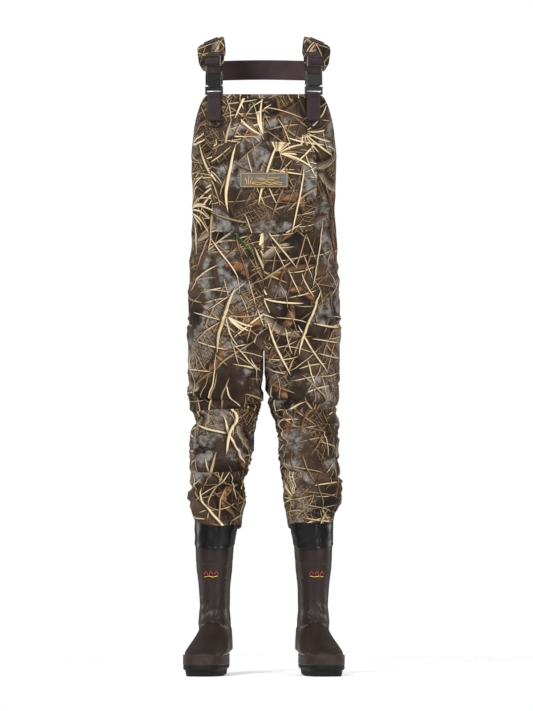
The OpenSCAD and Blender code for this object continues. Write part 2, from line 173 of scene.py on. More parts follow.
class Group(Shader):
    """Nodes that are set out once and used many times, with one colour coming out."""

    def __init__(self, name, colours, numbers):
        self.tree = bpy.data.node_groups.new(name, "ShaderNodeTree")
        for key in colours + numbers:
            kind = "NodeSocketColor" if key in colours else "NodeSocketFloat"
            self.tree.interface.new_socket(key, in_out="INPUT", socket_type=kind)
        self.tree.interface.new_socket("colour", in_out="OUTPUT", socket_type="NodeSocketColor")
        self.given = self.tree.nodes.new("NodeGroupInput")

    def __getitem__(self, key):
        return Value(self, self.given.outputs[key])

    def close(self, colour):
        self.feed(self.tree.nodes.new("NodeGroupOutput").inputs[0], colour)
        return self


def rgb(r, g, b):
    return (r, g, b, 1.0)


# ---------------------------------------------------------------- materials

CREAM, STRAW, TAN = rgb(.80, .63, .38), rgb(.46, .30, .145), rgb(.23, .14, .068)
RUST, BARK, SOIL = rgb(.15, .070, .032), rgb(.050, .031, .020), rgb(.010, .0068, .005)
ASH, MIST = rgb(.105, .093, .085), rgb(.24, .225, .21)
MOSS, LEAF = rgb(.010, .030, .010), rgb(.022, .105, .024)


def painted_blade(s, under, mask, shadow, u, along, r1, r3, dark, pale):
    """A blade over the colour under it: one of a range of colours, dark along one edge, with fibres."""
    body = s.mix(s.step(r3, 0.10, 0.70), dark, pale)
    body = s.mix(s.step(s.grain(u * 1.7 + along * 9.0 + r1 * 40.0), 0.45, 0.75) * 0.5, body, BARK)
    body = s.mix(s.step(u, -0.2, -0.95) * 0.75, body, SOIL)
    return s.mix(mask, s.mix(shadow * 0.75, under, SOIL), body)


def blade_layer():
    """One layer of printed reeds, with at most one blade in each cell of a slanted grid."""
    s = Group("blade_layer", ["under", "dark", "pale"],
              ["x", "y", "cos", "sin", "pitch", "length", "half", "share", "seed", "bend"])
    seed, pitch, half = s["seed"], s["pitch"], s["half"]
    across = s["x"] * s["cos"] + s["y"] * s["sin"] + seed * 0.37 + 3.1
    along = s["y"] * s["cos"] - s["x"] * s["sin"] + 5.7
    row = (across / pitch).floor()
    steps = along / s["length"] + s.speck(row, seed + 0.5)[0] * 7.0
    cell = steps.floor()
    t = steps.fract() - 0.5
    pick, r2, r3 = s.speck(row + seed * 17.0, cell)
    r1 = (pick * 37.0).fract()
    middle = (r1 - 0.5) * 0.55 * t + (r2 - 0.5) * (t * t) * s["bend"] * 4.0 + (r3 - 0.5) * 0.25
    d = ((across / pitch).fract() - 0.5 - middle) * pitch
    width = (r2 * 0.9 + 0.4) * half * ((abs(t) * 2.0).op("POWER", 4.0) * -1.0 + 1.0)
    width = width.op("MAXIMUM", 1e-5)
    u = d / width
    here = pick.op("LESS_THAN", s["share"])
    mask = s.step(abs(u), 1.1, 0.75) * here
    shadow = s.step(abs((d + half * 0.9) / width), 2.6, 0.6) * here
    return s.close(painted_blade(s, s["under"], mask, shadow, u, along, r1, r3, s["dark"], s["pale"]))


def fan_layer():
    """Reeds that spread from points, as bunches do: one bunch at most in each cell of a square grid."""
    s = Group("fan_layer", ["under", "dark", "pale"],
              ["x", "y", "pitch", "wedges", "half", "share", "seed"])
    seed, pitch, half, wedges = s["seed"], s["pitch"], s["half"], s["wedges"]
    gx, gy = s["x"] / pitch + seed * 0.31, s["y"] / pitch + seed * 0.57
    cx, cy = gx.floor(), gy.floor()
    pick, r1, r2 = s.speck(cx + seed, cy)
    r3 = (pick * 37.0).fract()
    dx = (gx.fract() - 0.5 + (r1 - 0.5) * 0.16) * pitch
    dy = (gy.fract() - 0.5 + (r2 - 0.5) * 0.16) * pitch
    r = (dx * dx + dy * dy).op("SQRT")
    turn = dy.op("ARCTAN2", dx) / (2 * PI) + 1.5 + r * (r3 - 0.5) * 1.6     # stalks droop as they go out
    wedge = turn * wedges
    q1, q2, q3 = s.speck(wedge.floor() + cx * 7.0, cy + seed * 3.0)
    d = (wedge.fract() - 0.5 + (q1 - 0.5) * 0.5) * r * (2 * PI) / wedges
    reach = (r / pitch - 0.03) / (q2 * 0.20 + 0.16)
    width = (q3 * 1.1 + 0.45) * half * (abs(reach - 0.45).op("POWER", 2.0) * -1.6 + 1.15)
    width = width.op("MAXIMUM", 1e-5)
    here = pick.op("LESS_THAN", s["share"]) * (q1 * 29.0).fract().op("LESS_THAN", 0.62)
    here = here * abs((turn + r3).fract() - 0.5).op("LESS_THAN", 0.21)
    here = here * reach.op("GREATER_THAN", 0.0) * reach.op("LESS_THAN", 1.0)
    u = d / width
    mask = s.step(abs(u), 1.1, 0.7) * here
    shadow = s.step(abs((d + half * 0.9) / width), 2.4, 0.6) * here
    return s.close(painted_blade(s, s["under"], mask, shadow, u, r, q1, q3, s["dark"], s["pale"]))


def leaf_layer():
    """Broad curled leaves with dark veins."""
    s = Group("leaf_layer", ["under"], ["x", "y", "cos", "sin", "share", "seed", "blotch"])
    pitch = 0.11
    across = s["x"] * s["cos"] + s["y"] * s["sin"] + s["seed"]
    along = s["y"] * s["cos"] - s["x"] * s["sin"] + 5.7
    row = (across / pitch).floor()
    steps = along / 0.085 + s.speck(row, s["seed"])[0] * 7.0
    t = steps.fract() - 0.5
    pick, r2, r3 = s.speck(row + s["seed"], steps.floor())
    d = ((across / pitch).fract() - 0.5 - (r2 - 0.5) * (t * t) * 2.4 - (r3 - 0.5) * 0.3) * pitch
    edge = (s["blotch"] - 0.5) * 0.006
    width = (abs(t) * 2.0).op("POWER", 3.0) * -0.012 + 0.012 + edge
    u = d / width.op("MAXIMUM", 1e-5)
    here = pick.op("LESS_THAN", s["share"])
    vein = s.step(abs((along * 260.0 + abs(u) * 5.0 + s["blotch"] * 9.0).sin()), 0.6, 0.1)
    leaf = s.mix(s.step(s["blotch"], 0.3, 0.65), rgb(.045, .024, .014), rgb(.28, .135, .06))
    leaf = s.mix(vein * 0.6, leaf, SOIL)
    leaf = s.mix(s.step(u, -0.1, -0.9) * 0.8, leaf, SOIL)
    colour = s.mix(s.step(abs(u + 0.7), 2.0, 0.7) * here * 0.8, s["under"], SOIL)
    return s.close(s.mix(s.step(abs(u), 1.0, 0.85) * here, colour, leaf))


def stalk_layer():
    """Thick stalks bent into parts of rings."""
    s = Group("stalk_layer", ["under"], ["x", "y", "pitch", "share", "seed"])
    pitch = s["pitch"]
    gx, gy = s["x"] / pitch + s["seed"] * 0.31, s["y"] / pitch + s["seed"] * 0.57
    pick, r1, r2 = s.speck(gx.floor() + s["seed"], gy.floor())
    r3 = (pick * 37.0).fract()
    dx = (gx.fract() - 0.5 + (r1 - 0.5) * 0.2) * pitch
    dy = (gy.fract() - 0.5 + (r2 - 0.5) * 0.2) * pitch
    ring = (dx * dx + dy * dy).op("SQRT")
    u = (ring - (r3 * 0.10 + 0.22) * pitch) / 0.0095
    turn = dy.op("ARCTAN2", dx) / PI
    arc = s.step((turn + r3 * 2.0).op("PINGPONG", 1.0), 0.50, 0.46)
    here = pick.op("LESS_THAN", s["share"]) * arc
    stalk = s.mix(s.step(u, 0.9, -0.6), rgb(.42, .345, .24), rgb(.10, .075, .052))
    stalk = s.mix(s.step(s.grain(ring * 600.0 + turn * 3.0), 0.42, 0.68) * 0.8, stalk, BARK)
    colour = s.mix(s.step(abs(u + 0.8), 2.0, 0.7) * here * 0.75, s["under"], SOIL)
    return s.close(s.mix(s.step(abs(u), 1.05, 0.85) * here, colour, stalk))


BLADE_LAYER, FAN_LAYER, LEAF_LAYER, STALK_LAYER = blade_layer(), fan_layer(), leaf_layer(), stalk_layer()


def reed_camouflage(name):
    """The printed cloth: dry reeds, bunches, curled leaves and bent stalks over a dark, misty ground."""
    s = Shader(name)
    x, y = s.cloth_xy()
    at = s.vector(x, y)
    bx = x + (s.noise(at, 5.0, 1.0) - 0.5) * 0.035
    by = y + (s.noise(s.vector(y, x), 4.0, 1.0) - 0.5) * 0.02
    # out-of-focus brown ground with darker hollows, and torn clouds of grey
    ground = s.mix(s.step(s.noise(at, 9.0, 3.0, 0.55), 0.36, 0.66), SOIL, BARK)
    ground = s.mix(s.step(s.noise(s.vector(y, x, 2.0), 6.5, 2.0, 0.5), 0.50, 0.72) * 0.85, ground,
                   rgb(.085, .052, .034))
    strands = s.noise(s.vector(x * 9.0, y * 1.2), 22.0, 3.0, 0.65)
    ground = s.mix(s.step(strands, 0.5, 0.74) * s.step(s.noise(at, 4.2, 1.0), 0.42, 0.60) * 0.45, ground, TAN)
    mottle = s.noise(at, 40.0, 4.0, 0.68)
    blotch = s.noise(at, 75.0, 3.0, 0.7)
    cloud = s.step(s.noise(at, 7.5, 2.0, 0.45) + (mottle - 0.5) * 0.30, 0.50, 0.58)
    mist = s.mix(s.step(mottle, 0.40, 0.66), ASH, MIST)
    colour = s.mix(cloud * s.step(mottle, 0.34, 0.54) * 0.9, ground, mist)
    few = s.step(s.noise(at, 7.1, 1.0), 0.50, 0.58)
    some = s.step(s.noise(at, 5.3, 1.0), 0.43, 0.52)
    layers = [  # angle, pitch, length, half width, share, dark, pale, bend
        (28, 9, 55, 0.8, .90, BARK, STRAW, .4), (-47, 10, 60, 0.8, .90, BARK, STRAW, .4),
        (74, 10, 45, 0.9, .90, BARK, TAN, .5), (-70, 17, 75, 1.2, .80, BARK, STRAW, .4),
        (40, 22, 80, 1.5, .65, TAN, STRAW, .4),
        (14, 78, 150, 6.5, .34, BARK, RUST, .3), (-68, 90, 140, 6.0, .30, BARK, RUST, .3),
        (-82, 30, 80, 1.9, .60, TAN, CREAM, .5), (52, 36, 100, 2.2, .50, BARK, STRAW, .5),
        (-24, 26, 100, 2.0, .60, RUST, STRAW, .5),
        (80, 34, 100, 2.0, .30, TAN, CREAM, .3), (-55, 44, 120, 2.1, .34, TAN, CREAM, .25),
        (20, 30, 70, 1.5, .40, TAN, CREAM, .4), (33, 80, 150, 2.7, .28, STRAW, CREAM, .2),
        (-14, 100, 170, 3.1, .34, STRAW, CREAM, .2),
    ]
    under = colour
    for seed, (angle, pitch, length, half, share, dark, pale, bend) in enumerate(layers, 1):
        turn = math.radians(angle)
        colour = s.use(BLADE_LAYER, under=colour, dark=dark, pale=pale, x=bx, y=by, cos=math.cos(turn),
                       sin=math.sin(turn), pitch=pitch * MM, length=length * MM, half=half * MM,
                       share=share, seed=float(seed), bend=bend)
        if seed in (5, 10):     # thatch in patches only, with bare ground between
            colour = s.mix(few if seed == 5 else some, under, colour)
            under = colour
        if seed == 7:
            for k, angle in ((21, 64), (22, -28)):
                turn = math.radians(angle)
                colour = s.use(LEAF_LAYER, under=colour, x=bx, y=by, cos=math.cos(turn), sin=math.sin(turn),
                               share=.13, seed=float(k), blotch=blotch)
            for k, pitch in ((31, .34), (32, .41)):
                colour = s.use(STALK_LAYER, under=colour, x=bx, y=by, pitch=pitch, share=.75, seed=float(k))
            under = colour
    fans = [(51, .31, 46.0, 1.7, RUST), (52, .26, 42.0, 2.0, TAN), (53, .38, 58.0, 1.7, RUST)]
    for seed, pitch, wedges, half, dark in fans:
        colour = s.use(FAN_LAYER, under=colour, dark=dark, pale=CREAM, x=bx, y=by, pitch=pitch, wedges=wedges,
                       half=half * MM, share=.48, seed=float(seed))
    turn = math.radians(61)
    colour = s.use(BLADE_LAYER, under=colour, dark=MOSS, pale=LEAF, x=bx, y=by, cos=math.cos(turn),
                   sin=math.sin(turn), pitch=.17, length=.17, half=.003, share=.15, seed=41.0, bend=.25)
    # the jersey face: fine knit columns, and the softer quilting of foam beneath
    knit = (x * (2 * PI / 0.0011)).sin() * (y * (2 * PI / 0.0008)).sin()
    soft = s.noise(at, 90.0, 3.0)
    normal = s.bump(soft, 0.35, 0.0012)
    normal = s.bump(knit, 0.30, 0.00025, normal)
    rough = s.noise(at, 160.0, 2.0) * 0.12 + 0.76
    return s.finish(base_color=colour, roughness=rough, normal=normal, specular_ior_level=0.12)


def knit_lining():
    s = Shader("black_knit_lining")
    x, y = s.cloth_xy()
    at = s.vector(x, y)
    colour = s.mix(s.noise(at, 30.0, 3.0), rgb(.018, .017, .017), rgb(.045, .042, .04))
    knit = (x * (2 * PI / 0.0016)).sin() * (y * (2 * PI / 0.0012)).sin()
    return s.finish(base_color=colour, roughness=0.9, normal=s.bump(knit, 0.5, 0.0004),
                    sheen_weight=0.3)


def webbing(name, dark, pale, rib=0.0016):
    """Ribbed strap: warp ribs along it, crossed by a herringbone of picks."""
    s = Shader(name)
    x, y = s.cloth_xy()
    at = s.vector(x, y)
    ribs = (x * (2 * PI / rib)).sin()
    slant = (y + abs((x / (rib * 2)).fract() - 0.5) * rib * 2.2) * (2 * PI / 0.0011)
    picks = slant.sin()
    weave = ribs * 0.6 + picks * 0.4
    fade = s.noise(at, 18.0, 3.0, 0.6)
    colour = s.mix(s.step(fade, 0.3, 0.75), dark, pale)
    # painted shade: the weave's low parts, its hollows, are darkened
    colour = s.mix(s.step(weave, 0.1, -0.8) * 0.55, colour, rgb(.012, .008, .009))
    colour = s.mix(s.step(s.noise(s.vector(x * 6.0, y), 400.0, 1.0), 0.62, 0.8) * 0.35, colour, pale)
    return s.finish(base_color=colour, roughness=0.72, normal=s.bump(weave, 0.6, 0.0004),
                    sheen_weight=0.05, sheen_roughness=0.4, specular_ior_level=0.2)


def thread(name, colour):
    s = Shader(name)
    twist = s.noise(s.place(), 2500.0, 1.0)
    shade = s.mix(twist, colour, rgb(*(c * 0.55 for c in colour[:3])))
    return s.finish(base_color=shade, roughness=0.6, normal=s.bump(twist, 0.4, 0.0002), sheen_weight=0.2)


def plastic(name, colour, rough, grain=0.25):
    """Moulded plastic: a fine spark-eroded grain, rubbed smoother in places."""
    s = Shader(name)
    at = s.place()
    rub = s.noise(at, 60.0, 3.0)
    shade = s.mix(s.step(rub, 0.35, 0.75), colour, rgb(*(c * 1.5 + 0.002 for c in colour[:3])))
    normal = s.bump(s.noise(at, 2600.0, 2.0), grain, 0.00015)
    return s.finish(base_color=shade, roughness=s.noise(at, 110.0, 2.0) * 0.18 + rough, normal=normal,
                    specular_ior_level=0.35)


def rubber(name, dark, pale, rough, coat=0.0, grain=0.15, shine=0.24):
    """Moulded boot rubber: bloom and scuffs vary the colour and the gloss."""
    s = Shader(name)
    at = s.place()
    bloom = s.noise(at, 16.0, 4.0, 0.6)
    scuff = s.noise(s.vector(bloom * 2.0, bloom), 3.0) * 0.1 + s.noise(at, 220.0, 4.0, 0.7) * 0.9
    shade = s.mix(s.step(bloom, 0.3, 0.75), dark, pale)
    shade = s.mix(s.step(scuff, 0.60, 0.85) * 0.25, shade, rgb(*(c * 1.8 for c in pale[:3])))
    gloss = s.noise(at, 35.0, 4.0, 0.65) * 0.26 + rough - 0.10
    normal = s.bump(s.noise(at, 45.0, 2.0), 0.25, 0.0008)
    normal = s.bump(s.noise(at, 900.0, 2.0), grain, 0.00012, normal)
    return s.finish(base_color=shade, roughness=gloss, normal=normal, coat_weight=coat,
                    coat_roughness=0.28, specular_ior_level=shine)


def coated_metal():
    s = Shader("blackened_ring_metal")
    at = s.place()
    wear = s.step(s.noise(at, 130.0, 4.0, 0.7), 0.52, 0.75)
    shade = s.mix(wear, rgb(.022, .023, .025), rgb(.10, .105, .11))
    return s.finish(base_color=shade, metallic=0.7, roughness=s.noise(at, 300.0, 2.0) * 0.2 + 0.28,
                    normal=s.bump(s.noise(at, 700.0, 2.0), 0.15, 0.0001))


def felt():
    s = Shader("grey_felt")
    at = s.place()
    fuzz = s.noise(at, 500.0, 4.0, 0.75)
    shade = s.mix(fuzz, rgb(.16, .15, .145), rgb(.34, .33, .31))
    return s.finish(base_color=shade, roughness=0.95, normal=s.bump(fuzz, 0.6, 0.0006), sheen_weight=0.4)


def paint(name, colour, rough=0.5):
    s = Shader(name)
    at = s.place()
    worn = s.step(s.noise(at, 700.0, 3.0, 0.7), 0.55, 0.8)
    shade = s.mix(worn * 0.5, colour, rgb(*(c * 0.5 for c in colour[:3])))
    return s.finish(base_color=shade, roughness=rough, normal=s.bump(worn, 0.2, 0.0001))


CAMO = reed_camouflage("reed_camouflage_jersey")
LINING = knit_lining()
WEBBING = webbing("brown_strap_webbing", rgb(.030, .017, .019), rgb(.052, .031, .034))
ELASTIC = webbing("brown_elastic_webbing", rgb(.036, .020, .022), rgb(.060, .036, .039), 0.0024)
BROWN_THREAD = thread("brown_thread", rgb(.075, .05, .036))
DARK_THREAD = thread("dark_thread", rgb(.022, .013, .015))
BUCKLE = plastic("black_buckle_plastic", rgb(.005, .005, .0055), 0.36)
GLOSS = plastic("polished_slider_plastic", rgb(.014, .0145, .016), 0.18, 0.08)
RING = coated_metal()
COLLAR = rubber("glossy_black_rubber", rgb(.0025, .0025, .003), rgb(.005, .005, .0055), 0.32, 0.10, 0.05)
BOOT = rubber("brown_boot_rubber", rgb(.014, .0078, .0062), rgb(.023, .0135, .0108), 0.40, 0.07)
FOXING = rubber("brown_foxing_rubber", rgb(.022, .0125, .0100), rgb(.034, .0205, .0165), 0.48, 0.02, 0.3, 0.2)
SOLE = rubber("black_sole_rubber", rgb(.0035, .0035, .0035), rgb(.008, .008, .0075), 0.55, 0.0, 0.4, 0.15)
FELT = felt()
BADGE_GREY = plastic("grey_badge_rubber", rgb(.080, .075, .068), 0.55, 0.4)
BADGE_YELLOW = paint("yellow_badge_paint", rgb(.62, .36, .03))
MARK_RED = paint("red_mark_paint", rgb(.33, .014, .010), 0.35)


# ---------------------------------------------------------------- mesh building

def smooth_curve(points):
    """A smooth function through a few (x, y) points, with no overshoot between them."""
    x, y = (np.array(v, float) for v in zip(*points))
    h = np.diff(x)
    d = np.diff(y) / h
    inner = np.where(d[:-1] * d[1:] > 0, 2 * d[:-1] * d[1:] / (d[:-1] + d[1:] + 1e-12), 0)
    m = np.concatenate([[d[0]], inner, [d[-1]]])

    def at(v):
        v = np.clip(v, x[0], x[-1])
        i = np.clip(np.searchsorted(x, v) - 1, 0, len(h) - 1)
        t = (v - x[i]) / h[i]
        return ((1 + 2 * t) * (1 - t) ** 2 * y[i] + t * (1 - t) ** 2 * h[i] * m[i]
                + t * t * (3 - 2 * t) * y[i + 1] + t * t * (t - 1) * h[i] * m[i + 1])
    return at


def spow(x, e):
    return np.sign(x) * np.abs(x) ** e


def ease(t):
    t = np.clip(t, 0, 1)
    return t * t * (3 - 2 * t)


def hill(x, middle, width):
    return np.exp(-((x - middle) / width) ** 2)


def ripples(u, v, size, seed, count=6):
    """Soft uneven waves of about that size, between roughly -1 and 1."""
    rng = random.Random(seed)
    total = 0
    for _ in range(count):
        turn, phase = rng.uniform(0, PI), rng.uniform(0, 2 * PI)
        k = 2 * PI / (size * rng.uniform(0.7, 1.5))
        total = total + np.sin(k * (u * math.cos(turn) + v * math.sin(turn)) + phase)
    return total / math.sqrt(count)


def folds(u, v, wide, tall, seed):
    """Crumpled cloth: rounded ridges with sharper valleys, wide along u and tall along v."""
    warp = ripples(u / wide, v / tall, 2.4, seed + 1, 4) * 0.55
    wave = ripples(u / wide, v / tall + warp, 1.6, seed, 5)
    return 1 - np.abs(np.clip(wave, -1.6, 1.6)) / 0.8


def make_object(name, verts, faces, uvs=None, materials=(), smooth=True, face_materials=None):
    """A mesh object. uvs are one (x, y) for each vertex, in metres of cloth."""
    me = bpy.data.meshes.new(name)
    me.from_pydata([tuple(map(float, v)) for v in verts], [], faces)
    for m in materials:
        me.materials.append(m)
    me.polygons.foreach_set("use_smooth", [smooth] * len(me.polygons))
    if face_materials is not None:
        me.polygons.foreach_set("material_index", face_materials)
    if uvs is not None:
        layer = me.uv_layers.new(name="cloth")
        index = np.empty(len(me.loops), np.int32)
        me.loops.foreach_get("vertex_index", index)
        layer.data.foreach_set("uv", np.asarray(uvs, np.float32)[index].ravel())
    me.update()
    ob = bpy.data.objects.new(name, me)
    bpy.context.scene.collection.objects.link(ob)
    return ob


def grid_faces(rows, cols, wrap=False, flip=False):
    faces = []
    for i in range(rows - 1):
        for j in range(cols if wrap else cols - 1):
            k = (j + 1) % cols
            f = (i * cols + j, i * cols + k, (i + 1) * cols + k, (i + 1) * cols + j)
            faces.append(f[::-1] if flip else f)
    return faces


def add_bevel(ob, width):
    m = ob.modifiers.new("soft_edges", "BEVEL")
    m.width = width
    m.segments = 3
    m.limit_method = "ANGLE"
    m.angle_limit = math.radians(35)


def mirrored(points, sign):
    return points * np.array([sign, 1, 1])


def unit_rows(v):
    return v / np.maximum(np.linalg.norm(v, axis=-1, keepdims=True), 1e-12)


def run_lengths(path):
    """How far along the path each of its points is."""
    return np.concatenate([[0], np.cumsum(np.linalg.norm(np.diff(path, axis=0), axis=1))])


def uv_grid(x, y):
    """UVs of a grid, from x by column and y by row."""
    return np.stack(np.broadcast_arrays(x[None, :], y[:, None]), -1)


def loop_faces(count, sides):
    """Faces that join the last ring of a grid of rings back to its first."""
    last = (count - 1) * sides
    return [(last + j, last + (j + 1) % sides, (j + 1) % sides, j) for j in range(sides)]


def along_path(points, count):
    """A smooth line through the points, in evenly spaced steps."""
    p = np.array(points, float)
    p = np.vstack([2 * p[0] - p[1], p, 2 * p[-1] - p[-2]])
    fine = []
    for i in range(1, len(p) - 2):
        t = np.linspace(0, 1, 40, endpoint=False)[:, None]
        a, b, c, d = p[i - 1], p[i], p[i + 1], p[i + 2]
        fine.append(0.5 * (2 * b + (c - a) * t + (2 * a - 5 * b + 4 * c - d) * t ** 2
                           + (3 * b - a - 3 * c + d) * t ** 3))
    fine = np.vstack(fine + [p[-2][None]])
    run = run_lengths(fine)
    at = np.linspace(0, run[-1], count)
    return np.stack([np.interp(at, run, fine[:, k]) for k in range(fine.shape[1])], 1), at


def tube_object(name, path, radius, materials, sides=8):
    """A round bar or line along a path, with capped ends."""
    path = np.asarray(path, float)
    n = len(path)
    ahead = np.vstack([path[1:], 2 * path[-1] - path[-2]])
    behind = np.vstack([2 * path[0] - path[1], path[:-1]])
    d = unit_rows(ahead - behind)
    up = np.where(np.abs(d[:, 2:3]) > 0.9, [[1.0, 0, 0]], [[0, 0, 1.0]])
    a = unit_rows(np.cross(d, up))
    b = np.cross(d, a)
    turn = np.linspace(0, 2 * PI, sides, endpoint=False)
    rings = path[:, None] + radius * (np.cos(turn)[None, :, None] * a[:, None]
                                      + np.sin(turn)[None, :, None] * b[:, None])
    faces = grid_faces(n, sides, wrap=True)
    faces += [tuple(range(sides)), tuple((n - 1) * sides + j for j in reversed(range(sides)))]
    return make_object(name, rings.reshape(-1, 3), faces, materials=materials)


STITCH_LIFT = 0.25      # how far a thread's middle stands off the cloth, in mm


def stitches(name, path, normals, material, pitch=3.6, length=2.6, radius=0.35, zigzag=0.0):
    """A row of sewn stitches: short rounded threads, level or in a zigzag, along a path on cloth."""
    path, normals = np.asarray(path, float), unit_rows(np.asarray(normals, float))
    run = run_lengths(path)
    count = max(2, int(run[-1] / (pitch * MM)))
    sides, verts, faces = 6, [], []
    profile = [(-0.5, 0.35, -0.9), (-0.36, 0.95, 0.0), (0.0, 1.0, 0.45), (0.36, 0.95, 0.0), (0.5, 0.35, -0.9)]
    for i in range(count):
        at = (i + 0.5) / count * run[-1]
        p = np.array([np.interp(at, run, path[:, k]) for k in range(3)])
        q = np.array([np.interp(at + 1e-4, run, path[:, k]) for k in range(3)])
        o = np.array([np.interp(at - 1e-4, run, path[:, k]) for k in range(3)])
        n = np.array([np.interp(at, run, normals[:, k]) for k in range(3)])
        n = n / np.linalg.norm(n)
        d = (q - o) / np.linalg.norm(q - o)
        side = np.cross(n, d)
        if zigzag:
            d = d * pitch + side * zigzag * (1 if i % 2 else -1)
            d = d / np.linalg.norm(d)
            side = np.cross(n, d)
        base = len(verts)
        for s, r, rise in profile:
            c = p + d * s * length * MM + n * (STITCH_LIFT + rise * radius * 0.6) * MM
            for j in range(sides):
                a = 2 * PI * j / sides
                verts.append(c + r * radius * MM * (math.cos(a) * side + math.sin(a) * n))
        for k in range(len(profile) - 1):
            for j in range(sides):
                a, b = base + k * sides + j, base + k * sides + (j + 1) % sides
                faces.append((a, b, b + sides, a + sides))
        faces.append(tuple(base + j for j in reversed(range(sides))))
        faces.append(tuple(base + (len(profile) - 1) * sides + j for j in range(sides)))
    return make_object(name, verts, faces, materials=[material])


def path_frame(points, across, count):
    """Evenly spaced points, width directions and outward directions along a strap's middle line."""
    both = np.hstack([np.array(points, float), np.array(across, float)])
    fine, _ = along_path(both, count)
    c, w = fine[:, :3], unit_rows(fine[:, 3:])
    d = unit_rows(np.gradient(c, axis=0))
    n = unit_rows(np.cross(w, d))
    return c, np.cross(d, n), n


def ribbon_object(name, path, across, width, thickness, materials, count=60, edge=0.5, ends=None,
                  offset=(0.0, 0.0), crown=0.0, cells=10):
    """A strap or pad along a path. across is the width direction at each point of the path.
    ends is a function of 0..1 that narrows the strap; crown thickens its middle."""
    c, w, n = path_frame(path, across, count)
    run = run_lengths(c)
    narrow = np.ones(count) if ends is None else ends(run / run[-1])
    s = np.linspace(-1, 1, cells)
    bulge = thickness / 2 * (1 - edge * np.abs(s) ** 6) + crown * (1 - s ** 2)
    loop = np.concatenate([np.stack([s, bulge], 1), np.stack([s[::-1], -bulge[::-1]], 1)])
    m = len(loop)
    pts = (c[:, None] + w[:, None] * (loop[None, :, :1] * (width / 2) * narrow[:, None, None])
           + n[:, None] * loop[None, :, 1:2])
    around = np.concatenate([s, s[::-1]]) * width / 2
    uvs = uv_grid(around + offset[0], run + offset[1])
    faces = grid_faces(count, m, wrap=True, flip=True)
    faces += [tuple(range(m)), tuple((count - 1) * m + j for j in reversed(range(m)))]
    return make_object(name, pts.reshape(-1, 3), faces, uvs.reshape(-1, 2), materials)


def grid_normals(p, wrap=False, flip=False):
    """Outward normals of a grid whose columns run to the right and rows run up, seen from outside."""
    if wrap:
        du = np.roll(p, -1, 1) - np.roll(p, 1, 1)
    else:
        du = np.gradient(p, axis=1)
    dv = np.gradient(p, axis=0)
    n = unit_rows(np.cross(du, dv))
    return -n if flip else n


def walled_object(name, p, uvs, thickness, materials, wrap=False, flip=False):
    """A sheet with a real wall: the second material is on its inner face."""
    rows, cols = p.shape[:2]
    n = grid_normals(p, wrap, flip)
    inner = p - n * thickness
    total = rows * cols
    out = grid_faces(rows, cols, wrap, flip)
    back = [tuple(i + total for i in reversed(f)) for f in out]
    rim = []

    def strip(line):
        for a, b in zip(line[:-1], line[1:]):
            rim.append((a, a + total, b + total, b))

    low = list(range(cols)) + ([0] if wrap else [])
    high = [i + (rows - 1) * cols for i in low]
    strip(low[::-1] if flip else low)
    strip(high if flip else high[::-1])
    if not wrap:
        first, last = [i * cols for i in range(rows)], [i * cols + cols - 1 for i in range(rows)]
        strip(first if flip else first[::-1])
        strip(last[::-1] if flip else last)
    verts = np.concatenate([p.reshape(-1, 3), inner.reshape(-1, 3)])
    uv = np.concatenate([uvs.reshape(-1, 2)] * 2)
    kinds = [0] * len(out) + [1] * len(back) + [0] * len(rim)
    return make_object(name, verts, out + back + rim, uv, materials, True, kinds)


# ---------------------------------------------------------------- the garment's outline

FABRIC = 4.0     # the cloth's thickness in mm
CROTCH_H, BIB_H, BACK_H, ARMHOLE_H, GARMENT_Y = 812, 1447, 1400, 1292, 46
torso_half_w = smooth_curve([(808, 190), (850, 190), (950, 189), (1100, 180), (1200, 177.5), (1292, 180),
                             (1350, 176), (1450, 172)])
torso_half_d = smooth_curve([(808, 128), (880, 138), (950, 134), (1100, 124), (1250, 125), (1350, 128),
                             (1450, 126)])
torso_square = smooth_curve([(808, 2.2), (1100, 2.4), (1350, 2.6), (1450, 2.6)])
top_edge_curve = smooth_curve([
    (0, BIB_H), (30, BIB_H + 0.5), (50, BIB_H - 1), (56, BIB_H - 7), (62, BIB_H - 21), (70, BIB_H - 47),
    (80, BIB_H - 84), (88, ARMHOLE_H + 14), (97, ARMHOLE_H), (106, ARMHOLE_H + 10),
    (120, ARMHOLE_H + 48), (135, BACK_H - 22), (150, BACK_H - 5), (180, BACK_H)])


def top_edge(turn):
    turn = np.abs(turn)
    return top_edge_curve(np.where(turn > 180, 360 - turn, turn))


def torso_xy(turn, z):
    """The torso's outline at a height.
    turn is in degrees: 0 in front, 90 at the wearer's left, 180 behind."""
    e = 2 / torso_square(z)
    t = np.radians(turn)
    x = torso_half_w(z) * spow(np.sin(t), e)
    return np.stack([x, GARMENT_Y - torso_half_d(z) * spow(np.cos(t), e)], -1)


def torso_out(turn, z):
    d = unit_rows(torso_xy(turn + 1.5, z) - torso_xy(turn - 1.5, z))
    return np.stack([d[..., 1], -d[..., 0]], -1)


